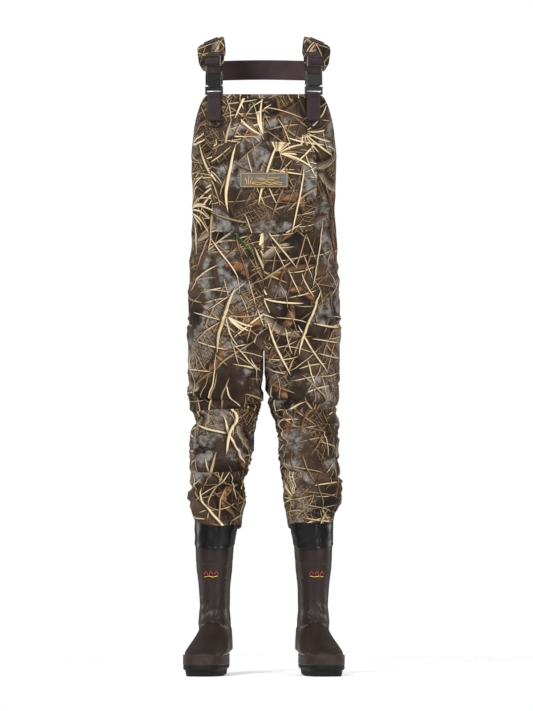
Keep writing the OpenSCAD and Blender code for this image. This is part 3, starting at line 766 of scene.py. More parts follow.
def torso_crumple(turn, z):
    """How far the cloth stands out from the plain outline, in mm, for its folds."""
    x = torso_xy(turn, z)[..., 0]
    front = ease((95 - np.abs(turn)) / 20)
    edge = ease((top_edge(turn) - z) / 60)
    calm = ease((z - CROTCH_H) / 40) * edge
    # soft vertical drapes on the flanks, diagonal ones from hip to crotch, flat ones at the waist
    side = folds(x + z * 0.25, z, 34, 150, 3) * hill(np.abs(turn), 72, 26) * 3.2
    hip = folds(x * np.sign(x) * 0.8 + z * 0.9, z - np.abs(x) * 0.7, 60, 44, 8) * hill(z, 880, 75) * 2.6
    waist = folds(x, z, 120, 40, 12) * hill(z, 1040, 70) * 1.9
    chest = folds(x, z + x * 0.3, 55, 70, 17) * hill(z, 1330, 80) * 1.3
    spread = np.degrees(np.arctan2(np.abs(x) + 1e-6, z - 800))
    reach = np.hypot(x, z - 806)
    rays = np.sin(np.radians(spread * 7.5) + reach / 60 + np.sign(x) * 0.8)
    crotch = rays * np.exp(-(reach / 95) ** 2) * 3.0
    groove = -1.6 * np.exp(-(x / 2.4) ** 2)
    return (side + hip + waist + chest + crotch * front) * calm + groove


def torso_point(turn, z, out=0.0):
    """A point on the garment's torso, out mm from its cloth, in mm."""
    turn, z = np.broadcast_arrays(np.asarray(turn, float), np.asarray(z, float))
    lift = (torso_crumple(turn, z) + out)[..., None] * torso_out(turn, z)
    xy = torso_xy(turn, z) + lift
    return np.concatenate([xy, z[..., None]], -1)


def arc_from_side(turn, z):
    """Cloth length from the side seam round to a place, in mm, positive towards the back."""
    steps = np.linspace(0, 1, 25)
    t = 90 + (np.asarray(turn, float) - 90)[..., None] * steps
    p = torso_xy(t, np.asarray(z, float)[..., None] + 0 * t)
    return np.linalg.norm(np.diff(p, axis=-2), axis=-1).sum(-1) * np.sign(turn - 90)


CLOTH_OFFSET = {"left": (0.37, 0.0), "right": (1.93, 0.46)}


def cloth_uv(side, along, z):
    ox, oy = CLOTH_OFFSET[side]
    return np.stack([along * MM * SIDES[side] + ox, z * MM + oy], -1)


def torso_panel(name, side, start, end, node):
    m = SIDES[side]
    cols, rows = 96, 190
    turn = np.linspace(start, end, cols)[None, :]
    f = np.linspace(0, 1, rows)[:, None]
    z = CROTCH_H + (top_edge(turn) - CROTCH_H) * f
    turn = turn + 0 * z
    p = torso_point(turn * m, z)
    uvs = cloth_uv(side, arc_from_side(turn, z), z)
    ob = walled_object(name, p * MM, uvs, FABRIC * MM, [CAMO, LINING], flip=m < 0)
    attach(ob, "garment")
    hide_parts(node)


for side in SIDES:
    torso_panel("bib_cloth_" + side, side, 0.0, 90, "bib_front_" + side)
    torso_panel("back_cloth_" + side, side, 90, 180.0, "back_panel_" + side)


# ---------------------------------------------------------------- legs

THIGH_END = 690
leg_y = smooth_curve([(340, 60), (385, 60), (485, 57), (588, 52), (690, 49), (812, GARMENT_Y)])
leg_half_d = smooth_curve([(340, 67), (388, 69), (405, 71), (440, 79), (485, 78), (530, 83), (600, 90),
                           (655, 93), (690, 102), (740, 110), (812, 120)])
LEG_EDGES = {   # the silhouette's outer and inner edge, as distances from the garment's middle, by height
    "right": (smooth_curve([
            (340, 168), (372, 170), (382, 172), (402, 180), (422, 185), (442, 188), (482, 182), (522, 182),
            (562, 185), (602, 182), (622, 175), (642, 168), (655, 173), (664, 184), (682, 185), (702, 191),
            (722, 186), (762, 187), (812, 190)]),
        smooth_curve([
            (340, 58), (382, 55), (402, 52.5), (442, 45), (482, 52), (522, 38), (562, 28), (602, 27),
            (622, 22.5), (642, 17.5), (662, 12), (682, 6), (702, 5), (722, 9), (762, 8), (812, 2.5)])),
    "left": (smooth_curve([
            (340, 171), (372, 173), (402, 178), (422, 190), (442, 195), (482, 194), (502, 186), (542, 185),
            (602, 187), (642, 184), (662, 181), (682, 181), (702, 187), (722, 185), (762, 187), (812, 190)]),
        smooth_curve([
            (340, 61), (372, 60), (402, 55), (422, 52), (442, 50), (482, 50), (502, 45), (542, 40),
            (602, 35), (642, 25), (662, 18), (682, 11), (702, 14), (722, 9), (762, 8), (812, 2.5)])),
}
ROLLS = {   # rolled folds: height, size, the angle at their middle, their spread, slope
    "right": [(698, 8.0, -70, 100, 5), (698, 7.0, 120, 80, -4), (648, 6.0, -20, 70, -9),
              (628, 4.5, -120, 60, 8), (590, 3.0, -60, 60, -8), (548, 3.5, -130, 60, 10),
              (514, 4.5, -20, 70, 6), (486, 5.0, -100, 80, -6), (602, 6.0, 90, 60, 4),
              (560, 5.0, 100, 60, -6), (455, 3.5, 60, 70, 7), (432, 3.0, -60, 60, 5),
              (745, 3.0, -140, 50, 12), (770, 2.5, -50, 60, -12)],
    "left": [(694, 8.0, -100, 100, -5), (694, 6.0, 80, 90, 5), (655, 5.0, -130, 70, 8),
             (634, 4.5, -40, 60, -9), (600, 3.5, -110, 60, 7), (556, 3.0, -40, 60, -9),
             (520, 4.5, -120, 70, -7), (496, 5.5, -60, 90, 7), (606, 6.0, 95, 60, -4),
             (565, 5.0, 80, 60, 6), (460, 4.0, 20, 80, -7), (430, 3.0, -100, 60, -5),
             (748, 3.0, -30, 50, -12), (776, 2.5, -120, 60, 10)],
}


def hem_height(side, angle):
    """The camouflage's lower edge, which sags in front and hangs lowest behind the inner side."""
    a = np.asarray(angle, float)
    wave = 1.6 * np.sin(np.radians(a * 3 + 40)) + 1.1 * np.sin(np.radians(a * 5 - 70))
    deep = 14 if side == "right" else 7
    return 385 - deep * hill(a, -95, 55) - 22 * hill((a + 360) % 360, 150, 42) + wave


def leg_outline(side, angle, z):
    """The leg's plain outline. angle: 0 is outermost, -90 front, 90 back, 180 innermost."""
    outer, inner = LEG_EDGES[side]
    a = np.radians(angle)
    e = 2 / 2.1
    half = (outer(z) - inner(z)) / 2
    low = np.stack([(outer(z) + inner(z)) / 2 + half * spow(np.cos(a), e),
                    leg_y(z) + leg_half_d(z) * spow(np.sin(a), e)], -1)
    et = 2 / torso_square(CROTCH_H + 0 * z)
    w, d = torso_half_w(CROTCH_H + 0 * z), torso_half_d(CROTCH_H + 0 * z)
    outside = np.cos(a) >= 0
    x = np.where(outside, np.maximum(0.3, w * spow(np.maximum(np.cos(a), 0), et)), 0.3)
    y = GARMENT_Y + d * np.where(outside, spow(np.sin(a), et), np.sin(a))
    s = ease((z - THIGH_END) / (CROTCH_H - THIGH_END))[..., None]
    return low * (1 - s) + np.stack([x, y], -1) * s


def leg_point(side, angle, z, out=0.0):
    """A point on the leg's cloth, in mm, for the side with x > 0; out mm off the cloth."""
    angle, z = np.broadcast_arrays(np.asarray(angle, float), np.asarray(z, float))
    d = unit_rows(leg_outline(side, angle + 2, z) - leg_outline(side, angle - 2, z))
    normal = np.stack([d[..., 1], -d[..., 0]], -1)
    seed = 40 if side == "left" else 60
    around = np.radians(angle) * 85
    calm = ease((CROTCH_H - z) / 45) * ease((z - 392) / 30)
    lift = folds(around + z * 0.35, z - around * 0.12, 95, 30, seed) * (
        2.6 * hill(z, 590, 110) + 2.0 * hill(z, 470, 40) + 0.8) * calm
    lift = lift + folds(around * 0.9 - z * 0.6, z, 50, 120, seed + 7) * 2.0 * hill(z, 760, 60) * calm
    drop = 0 * z
    for level, size, centre, spread, slope in ROLLS[side]:
        away = (angle - centre + 180) % 360 - 180
        amount = size * hill(away, 0, spread) * (0.75 + 0.25 * np.sin(np.radians(angle * 4 + level)))
        sag = slope * np.sin(np.radians(away)) * 2.2
        dz = z - level - sag - 3 * np.sin(np.radians(angle * 3 + level * 2))
        lift = lift + amount * (np.exp(-((dz - 7) / 11) ** 2) - 0.85 * np.exp(-((dz + 8) / 6.0) ** 2))
        drop = drop - amount * 1.15 * np.exp(-((dz - 1) / 8.5) ** 2)
    bottom = ease((z - 384) / 26)
    lift = lift * bottom
    xy = leg_outline(side, angle, z) + normal * (lift + out)[..., None]
    # the two legs don't pass through each other above the knees
    x = np.where(z < CROTCH_H - 2, np.maximum(xy[..., 0], 1.0), xy[..., 0])
    return np.stack([x, xy[..., 1], z + drop * bottom], -1)


def leg_uv(side, angle, z):
    """Cloth lengths around the leg from its outer seam, to continue the torso's pattern."""
    steps = np.linspace(0, 1, 33)
    a = np.asarray(angle, float)[..., None] * steps
    p = leg_outline(side, a, np.asarray(z, float)[..., None] + 0 * a)
    run = np.linalg.norm(np.diff(p, axis=-2), axis=-1).sum(-1) * np.sign(angle)
    return cloth_uv(side, run, z)


def finish_knee_cloth(ob):
    """Bakes the cloth's placement into its mesh."""
    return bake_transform(ob)


def leg_band(side, angles, z, out=0.0):
    return mirrored(leg_point(side, angles, z, out) * MM, SIDES[side])


PATCH_H, PATCH_TALL, PATCH_ANGLE = 587, 158, 62     # its middle's height, its height, its half angle

for side, m in SIDES.items():
    angles = np.linspace(-180, 180, 193)[None, :]
    f = np.linspace(0, 1, 250)[:, None]
    hem = hem_height(side, angles)
    z = hem + (CROTCH_H - hem) * f
    angles = angles + 0 * z
    leg = walled_object("leg_cloth_" + side, leg_band(side, angles, z), leg_uv(side, angles, z), FABRIC * MM,
                        [CAMO, LINING], flip=m < 0)
    finish_knee_cloth(leg)
    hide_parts("thigh_" + side, "knee_" + side, "calf_" + side)
    # the knee patch: a second layer sewn on in front, with its own cut of the pattern
    a = np.linspace(-152, -28, 110)[None, :]
    t = np.linspace(0, 1, 120)[:, None]
    corner = 1 - 0.16 * np.abs((a + 90) / PATCH_ANGLE) ** 6
    zz = PATCH_H + (t - 0.5) * PATCH_TALL * corner
    edge = np.minimum(np.minimum(t, 1 - t) * PATCH_TALL, (PATCH_ANGLE - np.abs(a + 90)) * 1.4)
    lift = 0.3 + 1.9 * (1 - np.exp(-edge / 2.5)) - 0.9 * np.exp(-((edge - 7) / 1.6) ** 2)
    a = a + 0 * zz
    uvs = leg_uv(side, a, zz) + np.array([0.83, 0.21])
    patch = walled_object("knee_patch_" + side, leg_band(side, a, zz, lift), uvs, 1.6 * MM, [CAMO, LINING],
                          flip=m < 0)
    finish_knee_cloth(patch)
    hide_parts("knee_pad_" + side)
    # two rows of stitches round the hem, on the cloth below the knee
    for row, up in enumerate((7.0, 11.0)):
        a = np.linspace(-180, 180, 240)
        zz = hem_height(side, a) + up
        path = leg_band(side, a, zz, 0.1)
        normals = path - leg_band(side, a, zz, -2.0)
        seam = stitches("hem_stitches_%s_%d" % (side, row), path, normals, BROWN_THREAD, 3.4, 2.7, 0.34)
        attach(seam, side + "_shin")


# ---------------------------------------------------------------- top edge, gusset, pocket and badge

turn = np.linspace(-180, 180, 420, endpoint=False)
edge = top_edge(turn)
profile = [(1.0, -7), (1.45, -4), (1.4, 0.6), (0.6, 2.4), (-2, 3.1), (-4.6, 2.4), (-5.4, 0.6), (-5.4, -6),
           (-3, -7.5), (-0.5, -7.5)]
tape = np.stack([torso_point(turn, edge + up, 0) + np.concatenate(
    [out * torso_out(turn, edge), 0 * edge[:, None]], -1) for out, up in profile], 1) * MM
across = np.cumsum([0, 3, 4.6, 2, 2.7, 2.7, 2, 6.6, 2.8, 2.5]) * MM
uvs = uv_grid(across, run_lengths(tape[:, 4]))
count, sides = tape.shape[:2]
faces = grid_faces(count, sides, wrap=True) + loop_faces(count, sides)
binding = make_object("edge_binding_tape", tape.reshape(-1, 3), faces, uvs.reshape(-1, 2), [CAMO])
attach(binding, "garment")
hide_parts("top_edge_binding")
seam_h = edge - 3.2
path = torso_point(turn, seam_h, 1.45) * MM
normals = path - torso_point(turn, seam_h, -1) * MM
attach(stitches("binding_stitches", path, normals, BROWN_THREAD, 3.6, 3.4, 0.32, zigzag=2.6), "garment")


def torso_turn(x, z):
    """The turn at which the torso's outline passes a distance x from its middle plane."""
    square = np.clip(np.abs(x) / torso_half_w(z), 0, 1) ** (torso_square(z) / 2)
    return np.degrees(np.arcsin(square)) * np.sign(x)


def torso_sheet(name, turn, z, out, thickness, materials, offset):
    """A separate layer on the torso's front, with its own cut of the pattern."""
    p = torso_point(turn, z, out) * MM
    xy = torso_xy(turn, z)
    uvs = np.stack([xy[..., 0] * MM * 1.15 + offset[0], z * MM + offset[1]], -1)
    ob = walled_object(name, p, uvs, thickness * MM, materials)
    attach(ob, "garment")
    return ob


u = np.linspace(-1, 1, 61)[None, :]
v = np.linspace(-1, 1, 61)[:, None]
# a diamond: a square turned onto its corner, longer upwards than down
gx = (u - v) * 0.5 * 21 - 6
gz = (u + v) * 0.5
gz = np.where(gz > 0, gz * 36, gz * 22) + 833
turn = torso_turn(gx, gz)
rim = np.minimum(1 - np.abs(u), 1 - np.abs(v)) * 15
out = 0.2 + 1.5 * (1 - np.exp(-rim / 1.6)) + 1.6 * np.exp(-(gx / 2.4) ** 2)
gusset = torso_sheet("crotch_gusset_cloth", turn, gz, out, 1.4, [CAMO, LINING], (2.71, 0.33))
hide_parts("crotch_gusset")

POCKET_LOW, POCKET_HIGH, POCKET_REACH = 1104, 1325, 38.0     # two heights in mm, and degrees to a side
POCKET_TALL, POCKET_HALF_W = 220, 118     # its cloth, for placing seams and folds
cols, rows = 130, 130
s = np.linspace(-1, 1, cols)[None, :]
t = np.linspace(0, 1, rows)[:, None]
arch = 10 * (1 - (s + 0.15) ** 2) - 3
z = POCKET_LOW + (POCKET_HIGH + arch - POCKET_LOW) * t + 3.5 * (s ** 2) * (1 - t)
waist_in = 1.0 + 0.035 * np.sin(np.pi * t) * np.sign(s) * np.abs(s) ** 3 * s
turn = s * POCKET_REACH * waist_in + 0 * z
gape = np.sin(np.pi * np.clip(t, 0, 1)) ** 0.8
side_lift = 3.0 + 9.5 * np.abs(s) ** 4
up = t * POCKET_TALL
soft = folds(s * 110, up, 60, 50, 71) * 1.4 + folds(s * 110 + t * 90, up, 28, 90, 75) * 0.8
fringe = np.minimum(np.minimum(t, 1 - t) * POCKET_TALL, (1 - np.abs(s)) * POCKET_HALF_W)
lift = 3.4 + gape * (side_lift + soft) - 1.1 * hill(fringe, 6, 1.5) - 0.7 * hill(fringe, 12, 1.4)
pocket = torso_sheet("pocket_cloth", turn, z, lift, 3.0, [CAMO, LINING], (3.17, 0.72))
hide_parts("chest_pocket")


def pocket_line(name, s, t):
    """Stitches along a line on the pocket, given across (-1..1) and up (0..1) it."""
    i = np.clip(t, 0, 1) * (rows - 1)
    j = (np.clip(s, -1, 1) + 1) / 2 * (cols - 1)
    i0, j0 = np.minimum(i.astype(int), rows - 2), np.minimum(j.astype(int), cols - 2)
    fi, fj = (i - i0)[:, None], (j - j0)[:, None]

    def sample(g):
        return (g[i0, j0] * (1 - fi) * (1 - fj) + g[i0 + 1, j0] * fi * (1 - fj)
                + g[i0, j0 + 1] * (1 - fi) * fj + g[i0 + 1, j0 + 1] * fi * fj)

    base, high = torso_point(turn, z, lift) * MM, torso_point(turn, z, lift + 2) * MM
    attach(stitches(name, sample(base), sample(high) - sample(base), BROWN_THREAD), "garment")


line = np.linspace(-0.96, 0.96, 90)
for k, d in enumerate((6, 12)):
    pocket_line("pocket_top_stitches_%d" % k, line, 1 - d / POCKET_TALL + 0 * line)
    pocket_line("pocket_low_stitches_%d" % k, line, d / POCKET_TALL + 0 * line)
up = np.linspace(0.03, 0.97, 90)
for which, sign in SIDES.items():
    pocket_line("pocket_side_stitches_" + which, sign * (1 - 7 / POCKET_HALF_W) + 0 * up, up)

BADGE_Z, BADGE_W, BADGE_H, BADGE_OUT = 1236, 116, 38, 18.6     # it stands off the torso by BADGE_OUT


def badge_point(x, y, out=0.0):
    """A point on the badge's face, x and y in mm from its middle."""
    x, y = np.broadcast_arrays(np.asarray(x, float), np.asarray(y, float))
    zz = BADGE_Z + y
    tt = torso_turn(x, zz)
    base = torso_xy(tt, zz) + torso_out(tt, zz) * (BADGE_OUT + out)
    return np.concatenate([base, zz[..., None]], -1) * MM


def badge_plate(name, half_w, half_h, radius, low, high, materials, hollow=0.0):
    """A rounded plate on the badge, or a rounded frame when hollow is its width."""
    sides = 96
    turn = np.linspace(0, 2 * PI, sides, endpoint=False)
    cx, cy = np.cos(turn), np.sin(turn)

    def outline(inset):
        r = max(radius - inset, 0.4)
        x = np.sign(cx) * (half_w - inset - r) + r * cx
        y = np.sign(cy) * (half_h - inset - r) + r * cy
        return x, y

    rings = [(0.0, low), (0.0, high - 0.4), (0.35, high)]
    rings += [(hollow - 0.35, high), (hollow, high - 0.4), (hollow, low)] if hollow else []
    if not hollow:
        rings += [(inset, high) for inset in np.linspace(3, half_h - 1.2, 7)]
    pts = [badge_point(*outline(inset), out) for inset, out in rings]
    n = len(pts)
    faces = grid_faces(n, sides, wrap=True)
    if hollow:
        faces += loop_faces(n, sides)
    else:
        faces += [tuple((n - 1) * sides + j for j in range(sides)), tuple(reversed(range(sides)))]
    ob = make_object(name, np.concatenate(pts), faces, materials=materials, smooth=False)
    ob.data.shade_smooth()
    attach(ob, "garment")
    return ob


plate = badge_plate("badge_plate", BADGE_W / 2, BADGE_H / 2, 4, -0.4, 1.3, [BADGE_GREY])
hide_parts("pocket_badge")
border = badge_plate("badge_border", BADGE_W / 2 - 2.2, BADGE_H / 2 - 2.2, 3, 1.0, 1.75, [BADGE_YELLOW], 0.9)


def badge_line(name, x, y, out, radius):
    """A raised line on the badge's face."""
    ob = tube_object(name, badge_point(x, y, out), radius * MM, [BADGE_YELLOW], 6)
    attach(ob, "garment")


for k in range(2):          # a generic motif: two ripples of water, three reeds and three bars
    x = np.linspace(-30, 44, 70)
    badge_line("badge_ripple_%d" % k, x, -6.5 - 4.2 * k + 1.5 * np.sin(x / 4.2 + k * 1.3), 1.35, 0.75)
for k, (x0, lean, tall) in enumerate(((-41, -4, 15), (-37, 1, 21), (-33, 6, 17))):
    t = np.linspace(0, 1, 16)
    badge_line("badge_reed_%d" % k, x0 + lean * t * t, -10 + tall * t, 1.35, 0.95)
for k, (x0, y0, long) in enumerate(((-20, 4, 22), (8, 5, 30), (-14, 0, 40))):
    badge_line("badge_bar_%d" % k, x0 + long * np.linspace(0, 1, 8), y0, 1.3, 0.8)


# ---------------------------------------------------------------- straps and their hardware

STRAP_X, STRAP_Y, STRAP_YAW = 124.0, -66.0, math.radians(28)
WEB_W, WEB_T, RING_R = 38.0, 2.0, 2.2
RING_BAR, FORK_BAR, SOCKET_BAR = 1388.0, 1451.5, 1504.8     # the heights of the bars the webbing goes round


def strap_points(side, yz, x=0.0):
    """Points from the strap's own frame: x along the webbing's width, y backwards, z up, in mm."""
    yz = np.asarray(yz, float)
    c, s = math.cos(STRAP_YAW), math.sin(STRAP_YAW)
    p = np.stack([STRAP_X + x * c - yz[:, 0] * s, STRAP_Y + x * s + yz[:, 0] * c, yz[:, 1]], 1)
    return mirrored(p * MM, SIDES[side])


def strap_across(side, count):
    w = np.array([math.cos(STRAP_YAW) * SIDES[side], math.sin(STRAP_YAW), 0])
    return np.repeat(w[None], count, 0)


def strap_ribbon(name, side, yz, body, count, thickness=WEB_T - 0.3):
    path = strap_points(side, yz)
    ob = ribbon_object(name, path, strap_across(side, len(path)), (WEB_W - 0.6) * MM, thickness * MM,
                       [WEBBING], count)
    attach(ob, body)
    return ob


def arc(cy, cz, r, start, end, count=9):
    """Points of an arc in the y-z plane; 0 degrees is towards +y and 90 is up."""
    t = np.radians(np.linspace(start, end, count))
    return [(cy + r * math.cos(a), cz + r * math.sin(a)) for a in t]


def strap_line(side, x0, x1, y, z, count):
    """Points straight across a strap, from x0 to x1."""
    return strap_points(side, [(y, z)] * count, x0 + (x1 - x0) * np.linspace(0, 1, count))


def strap_stitch_line(name, side, half, y, z, body):
    """A line of stitches across the front face of the webbing."""
    p = strap_line(side, -half, half, y, z, 24)
    out = strap_points(side, [(-1.0, 0)])[0] - strap_points(side, [(0.0, 0)])[0]
    ob = stitches(name, p, np.repeat(out[None], len(p), 0), DARK_THREAD, 3.2, 2.5, 0.33)
    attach(ob, body)


for side in SIDES:
    # the tab that joins the buckle's fork, the D-ring and the bib: one loop, its two plies sewn together
    r = RING_R + 1.15
    loop = [(-1.15, 1416), (-1.15, 1400)] + arc(0, RING_BAR, r, 152, 388, 15)
    loop += [(1.15, 1400), (1.15, 1416), (1.15, 1440)] + arc(0, FORK_BAR, r, -28, 208, 15)
    loop += [(-1.15, 1440), (-1.15, 1422), (-1.25, 1414)]
    tab = strap_ribbon("tab_webbing_" + side, side, loop, "garment", 150)
    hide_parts("bib_tab_" + side)
    for k, z in enumerate((1399, 1402.4, 1437, 1440.5)):
        strap_stitch_line("tab_stitches_%s_%d" % (side, k), side, 16, -2.2, z, "garment")
    # the webbing above the socket: round its bar, up both sides, then back onto the shoulder
    r = 3.35
    path = [(0.6, 1551.5), (-3.2, 1549.5), (-5.2, 1544), (-5.3, 1530), (-5.25, 1512)]
    path += arc(-2, SOCKET_BAR, r, 170, 370, 15)
    path += [(1.25, 1512), (1.1, 1530), (1.6, 1544), (3.8, 1552), (4.6, 1556)]
    riser = strap_ribbon("riser_webbing_" + side, side, path, side + "_socket", 170)
    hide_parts("adjuster_webbing_" + side)
    # the webbing that shows over the slider's middle bar
    wrap = [(-7.9, 1533), (-7.9, 1540), (-8.9, 1541.6), (-10.6, 1541.2), (-12.3, 1538.4), (-12.95, 1535),
            (-12.95, 1531), (-12.3, 1527.6), (-10.6, 1524.8), (-8.9, 1524.4), (-7.9, 1526), (-7.9, 1534)]
    over = strap_ribbon("slider_webbing_" + side, side, wrap, side + "_slider", 80, 1.6)
    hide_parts("slider_wrap_" + side)


# painted highlight: a pale bar put in the fork's slot for the bright line seen there
SLOT_HIGHLIGHT_BAR = Shader("pale_slot_highlight_bar")
SLOT_HIGHLIGHT_BAR = SLOT_HIGHLIGHT_BAR.finish(base_color=SLOT_HIGHLIGHT_BAR.mix(SLOT_HIGHLIGHT_BAR.noise(SLOT_HIGHLIGHT_BAR.place(), 900.0, 2.0), rgb(.62, .62, .60),
                                          rgb(.82, .82, .80)), metallic=0.35, roughness=0.4)
for side in SIDES:      # the pale bar that crosses the fork's slot: a painted highlight, standing in for the bright line seen there
    bar = strap_line(side, -19.6, 19.6, -1.5, 1457.6, 2)
    pin = tube_object("fork_slot_highlight_bar_" + side, bar, 1.45 * MM, [SLOT_HIGHLIGHT_BAR], 14)
    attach(pin, "garment")


for side, m in SIDES.items():
    for k in range(4):      # low ribs for the thumb, on the face where that side's plate is
        rib = strap_line(side, -9 + 0.6 * k, 9 - 0.6 * k, 8.1 * m, 1472.5 + 3.2 * k, 10)
        ob = tube_object("thumb_rib_%s_%d" % (side, k), rib, 0.75 * MM, [BUCKLE], 8)
        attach(ob, side + "_socket")


def finish_node(node, material, bevel=0.0):
    """Gives a CAD node that stays in sight its material and its soft edges, bevel in mm."""
    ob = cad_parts[node]
    ob.data.materials.clear()
    ob.data.materials.append(material)
    if bevel:
        add_bevel(ob, bevel * MM)


for side in SIDES:
    finish_node("d_ring_" + side, RING)
    finish_node("buckle_fork_" + side, BUCKLE, 0.6)
    finish_node("buckle_socket_" + side, BUCKLE, 0.7)
    finish_node("slider_" + side, GLOSS, 0.8)
    for which in ("outer", "inner"):
        finish_node("fork_arm_%s_%s" % (side, which), BUCKLE, 0.5)

FRONT_ACROSS = np.array([math.cos(math.radians(26)), math.sin(math.radians(26)), 0])
TOP_ACROSS = np.array([math.cos(math.radians(22)), 0, -math.sin(math.radians(22))])
BACK_ACROSS = np.array([math.cos(STRAP_YAW), -math.sin(STRAP_YAW), 0])


def between(a, b, t):
    return a + (b - a) * t


PAD_PATH = [((129, -48, 1508), FRONT_ACROSS), ((129, -47.5, 1530), FRONT_ACROSS),
            ((130, -41, 1553), between(FRONT_ACROSS, TOP_ACROSS, .3)),
            ((131, -24, 1571), between(FRONT_ACROSS, TOP_ACROSS, .75)), ((131, 4, 1580.5), TOP_ACROSS),
            ((131, 39, 1583), TOP_ACROSS), ((130, 74, 1578.5), between(TOP_ACROSS, BACK_ACROSS, .1)),
            ((128, 106, 1563), between(TOP_ACROSS, BACK_ACROSS, .4)),
            ((126, 130, 1539), between(TOP_ACROSS, BACK_ACROSS, .8))]


def pad_ends(t):
    """The pad's width along it: it narrows towards both ends."""
    return 1 - 0.40 * np.clip(1 - t / 0.12, 0, 1) ** 2.2 - 0.2 * np.clip(1 - (1 - t) / 0.08, 0, 1) ** 2


for side, m in SIDES.items():
    flip = np.array([m, 1, 1])
    # c is on the middle line, w points across it and n outward, away from the shoulder
    c, w, n = path_frame([p for p, _ in PAD_PATH], [a for _, a in PAD_PATH], 90)
    pad = ribbon_object("shoulder_cushion_" + side, (c + w * 2.0) * flip * MM, w * flip * m, 70 * MM,
                        6.2 * MM, [CAMO], count=120, edge=0.85, crown=1.1 * MM, cells=26,
                        offset=(4.1 + m * 0.3, 0.2), ends=pad_ends)
    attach(pad, "garment")
    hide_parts("shoulder_pad_" + side)
    for k, across in enumerate((-28.5, 28.5)):
        path = (c + w * across + n * 3.9)[3:-3] * flip * MM
        seam = stitches("pad_stitches_%s_%d" % (side, k), path, (n * flip)[3:-3], BROWN_THREAD,
                        3.8, 2.9, 0.36)
        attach(seam, "garment")
    # brown webbing from the pad's top, over its back end and down onto the back panel
    down = np.array([[124, 156, 1508], [121, 162, 1460], [118, 160.5, 1398], [116, 160, 1336]])
    points = np.vstack([(c + n * 5.6)[30::10], down])
    across = np.vstack([w[30::10], np.repeat(BACK_ACROSS[None], 4, 0)])
    strap = ribbon_object("shoulder_strap_" + side, points * flip * MM, across * flip * m,
                          (WEB_W - 0.6) * MM, 1.8 * MM, [WEBBING], count=190)
    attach(strap, "garment")
    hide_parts("shoulder_webbing_" + side)
    c2, w2, n2 = path_frame(points, across, 120)
    for k, x0 in enumerate((-15.5, 15.5)):
        path = (c2 + w2 * x0 + n2 * 1.05)[2:-2] * flip * MM
        seam = stitches("strap_stitches_%s_%d" % (side, k), path, (n2 * flip)[2:-2], DARK_THREAD,
                        3.4, 2.6, 0.33)
        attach(seam, "garment")
    for k, i in enumerate((3, 8, 112, 116)):
        t = np.linspace(-15.5, 15.5, 20)[:, None]
        path = (c2[i] + w2[i] * t + n2[i] * 1.05) * flip * MM
        seam = stitches("strap_box_%s_%d" % (side, k), path, np.repeat((n2[i] * flip)[None], 20, 0),
                        DARK_THREAD, 3.2, 2.5, 0.33)
        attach(seam, "garment")

# the elastic strap across the back, a little bowed upwards at its middle
x = np.array([-112, -100, -80, -50, -20, 0, 20, 50, 80, 100, 112.0])
y = np.array([163.5, 167, 172, 174.5, 175.5, 175.8, 175.5, 174.5, 172, 167, 163.5])
z = 1514 + 2.5 * (1 - (x / 112) ** 2)
up = np.stack([0 * x, 0 * x, 1 + 0 * x], 1)
band = ribbon_object("cross_elastic", np.stack([x, y, z], 1) * MM, -up, 49.4 * MM, 2.2 * MM, [ELASTIC],
                     count=120, cells=24)
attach(band, "garment")
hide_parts("cross_strap")


# ---------------------------------------------------------------- boots

SOLE_LEN, HEEL_BACK, BALL_HALF, HEEL_HALF = 307.0, 62.0, 55.0, 41.0
SOLE_TOP, FOXING_TOP, BOOT_Y, TOE_OUT = 28.0, 51.0, 60.5, math.radians(9)
FOXING_LOW, FOXING_IN, KNURL_PITCH = 27.5, 4.2, 4.2
LUG_PITCH, TREAD_PITCH = 15.5, 21
COLLAR_LOW, COLLAR_HIGH = 326, 405


def boot_world(side, p):
    """From the boot's own frame (x outwards, y back from the shaft's middle) to the row's, in metres."""
    p = np.asarray(p, float)
    c, s = math.cos(TOE_OUT), math.sin(TOE_OUT)
    q = np.stack([124 + p[..., 0] * c - p[..., 1] * s, BOOT_Y + p[..., 0] * s + p[..., 1] * c, p[..., 2]], -1)
    return mirrored(q * MM, SIDES[side])


def sole_half_w(s):
    s = np.clip(s, 0, 1)
    return (HEEL_HALF + (BALL_HALF - HEEL_HALF) * ease((s - 0.25) / 0.4)) * np.maximum(
        1 - np.abs(2 * s - 1) ** 6, 0) ** (1 / 2.4)


def sole_outline(count):
    """The sole's outline as evenly spaced points from the heel's middle, and how far round each one is."""
    t = np.linspace(0, 2 * PI, 900, endpoint=False)
    s = (1 - np.cos(t)) / 2
    x = np.sign(np.sin(t)) * sole_half_w(s) * (np.abs(np.sin(t)) > 1e-9) - 3 * np.sin(np.pi * s)
    o = np.stack([x, HEEL_BACK - s * SOLE_LEN], -1)
    o = np.vstack([o, o[:1]])
    run = run_lengths(o)
    at = np.linspace(0, run[-1], count, endpoint=False)
    return np.stack([np.interp(at, run, o[:, k]) for k in range(2)], -1), at


def foot_ring(y, top, half_w):
    return [-3, y, (top + SOLE_TOP) / 2, half_w, (top - SOLE_TOP) / 2, 90]


def heel_ring(turn, reach):
    a = math.radians(turn)
    return [-3 * turn / 90, -50 + math.cos(a) * reach / 2, 132 - math.sin(a) * reach / 2,
            40 + turn / 90, reach / 2, turn]


def shaft_ring(z, half_w, half_d, y):
    return [0, y, z, half_w, half_d, 0]


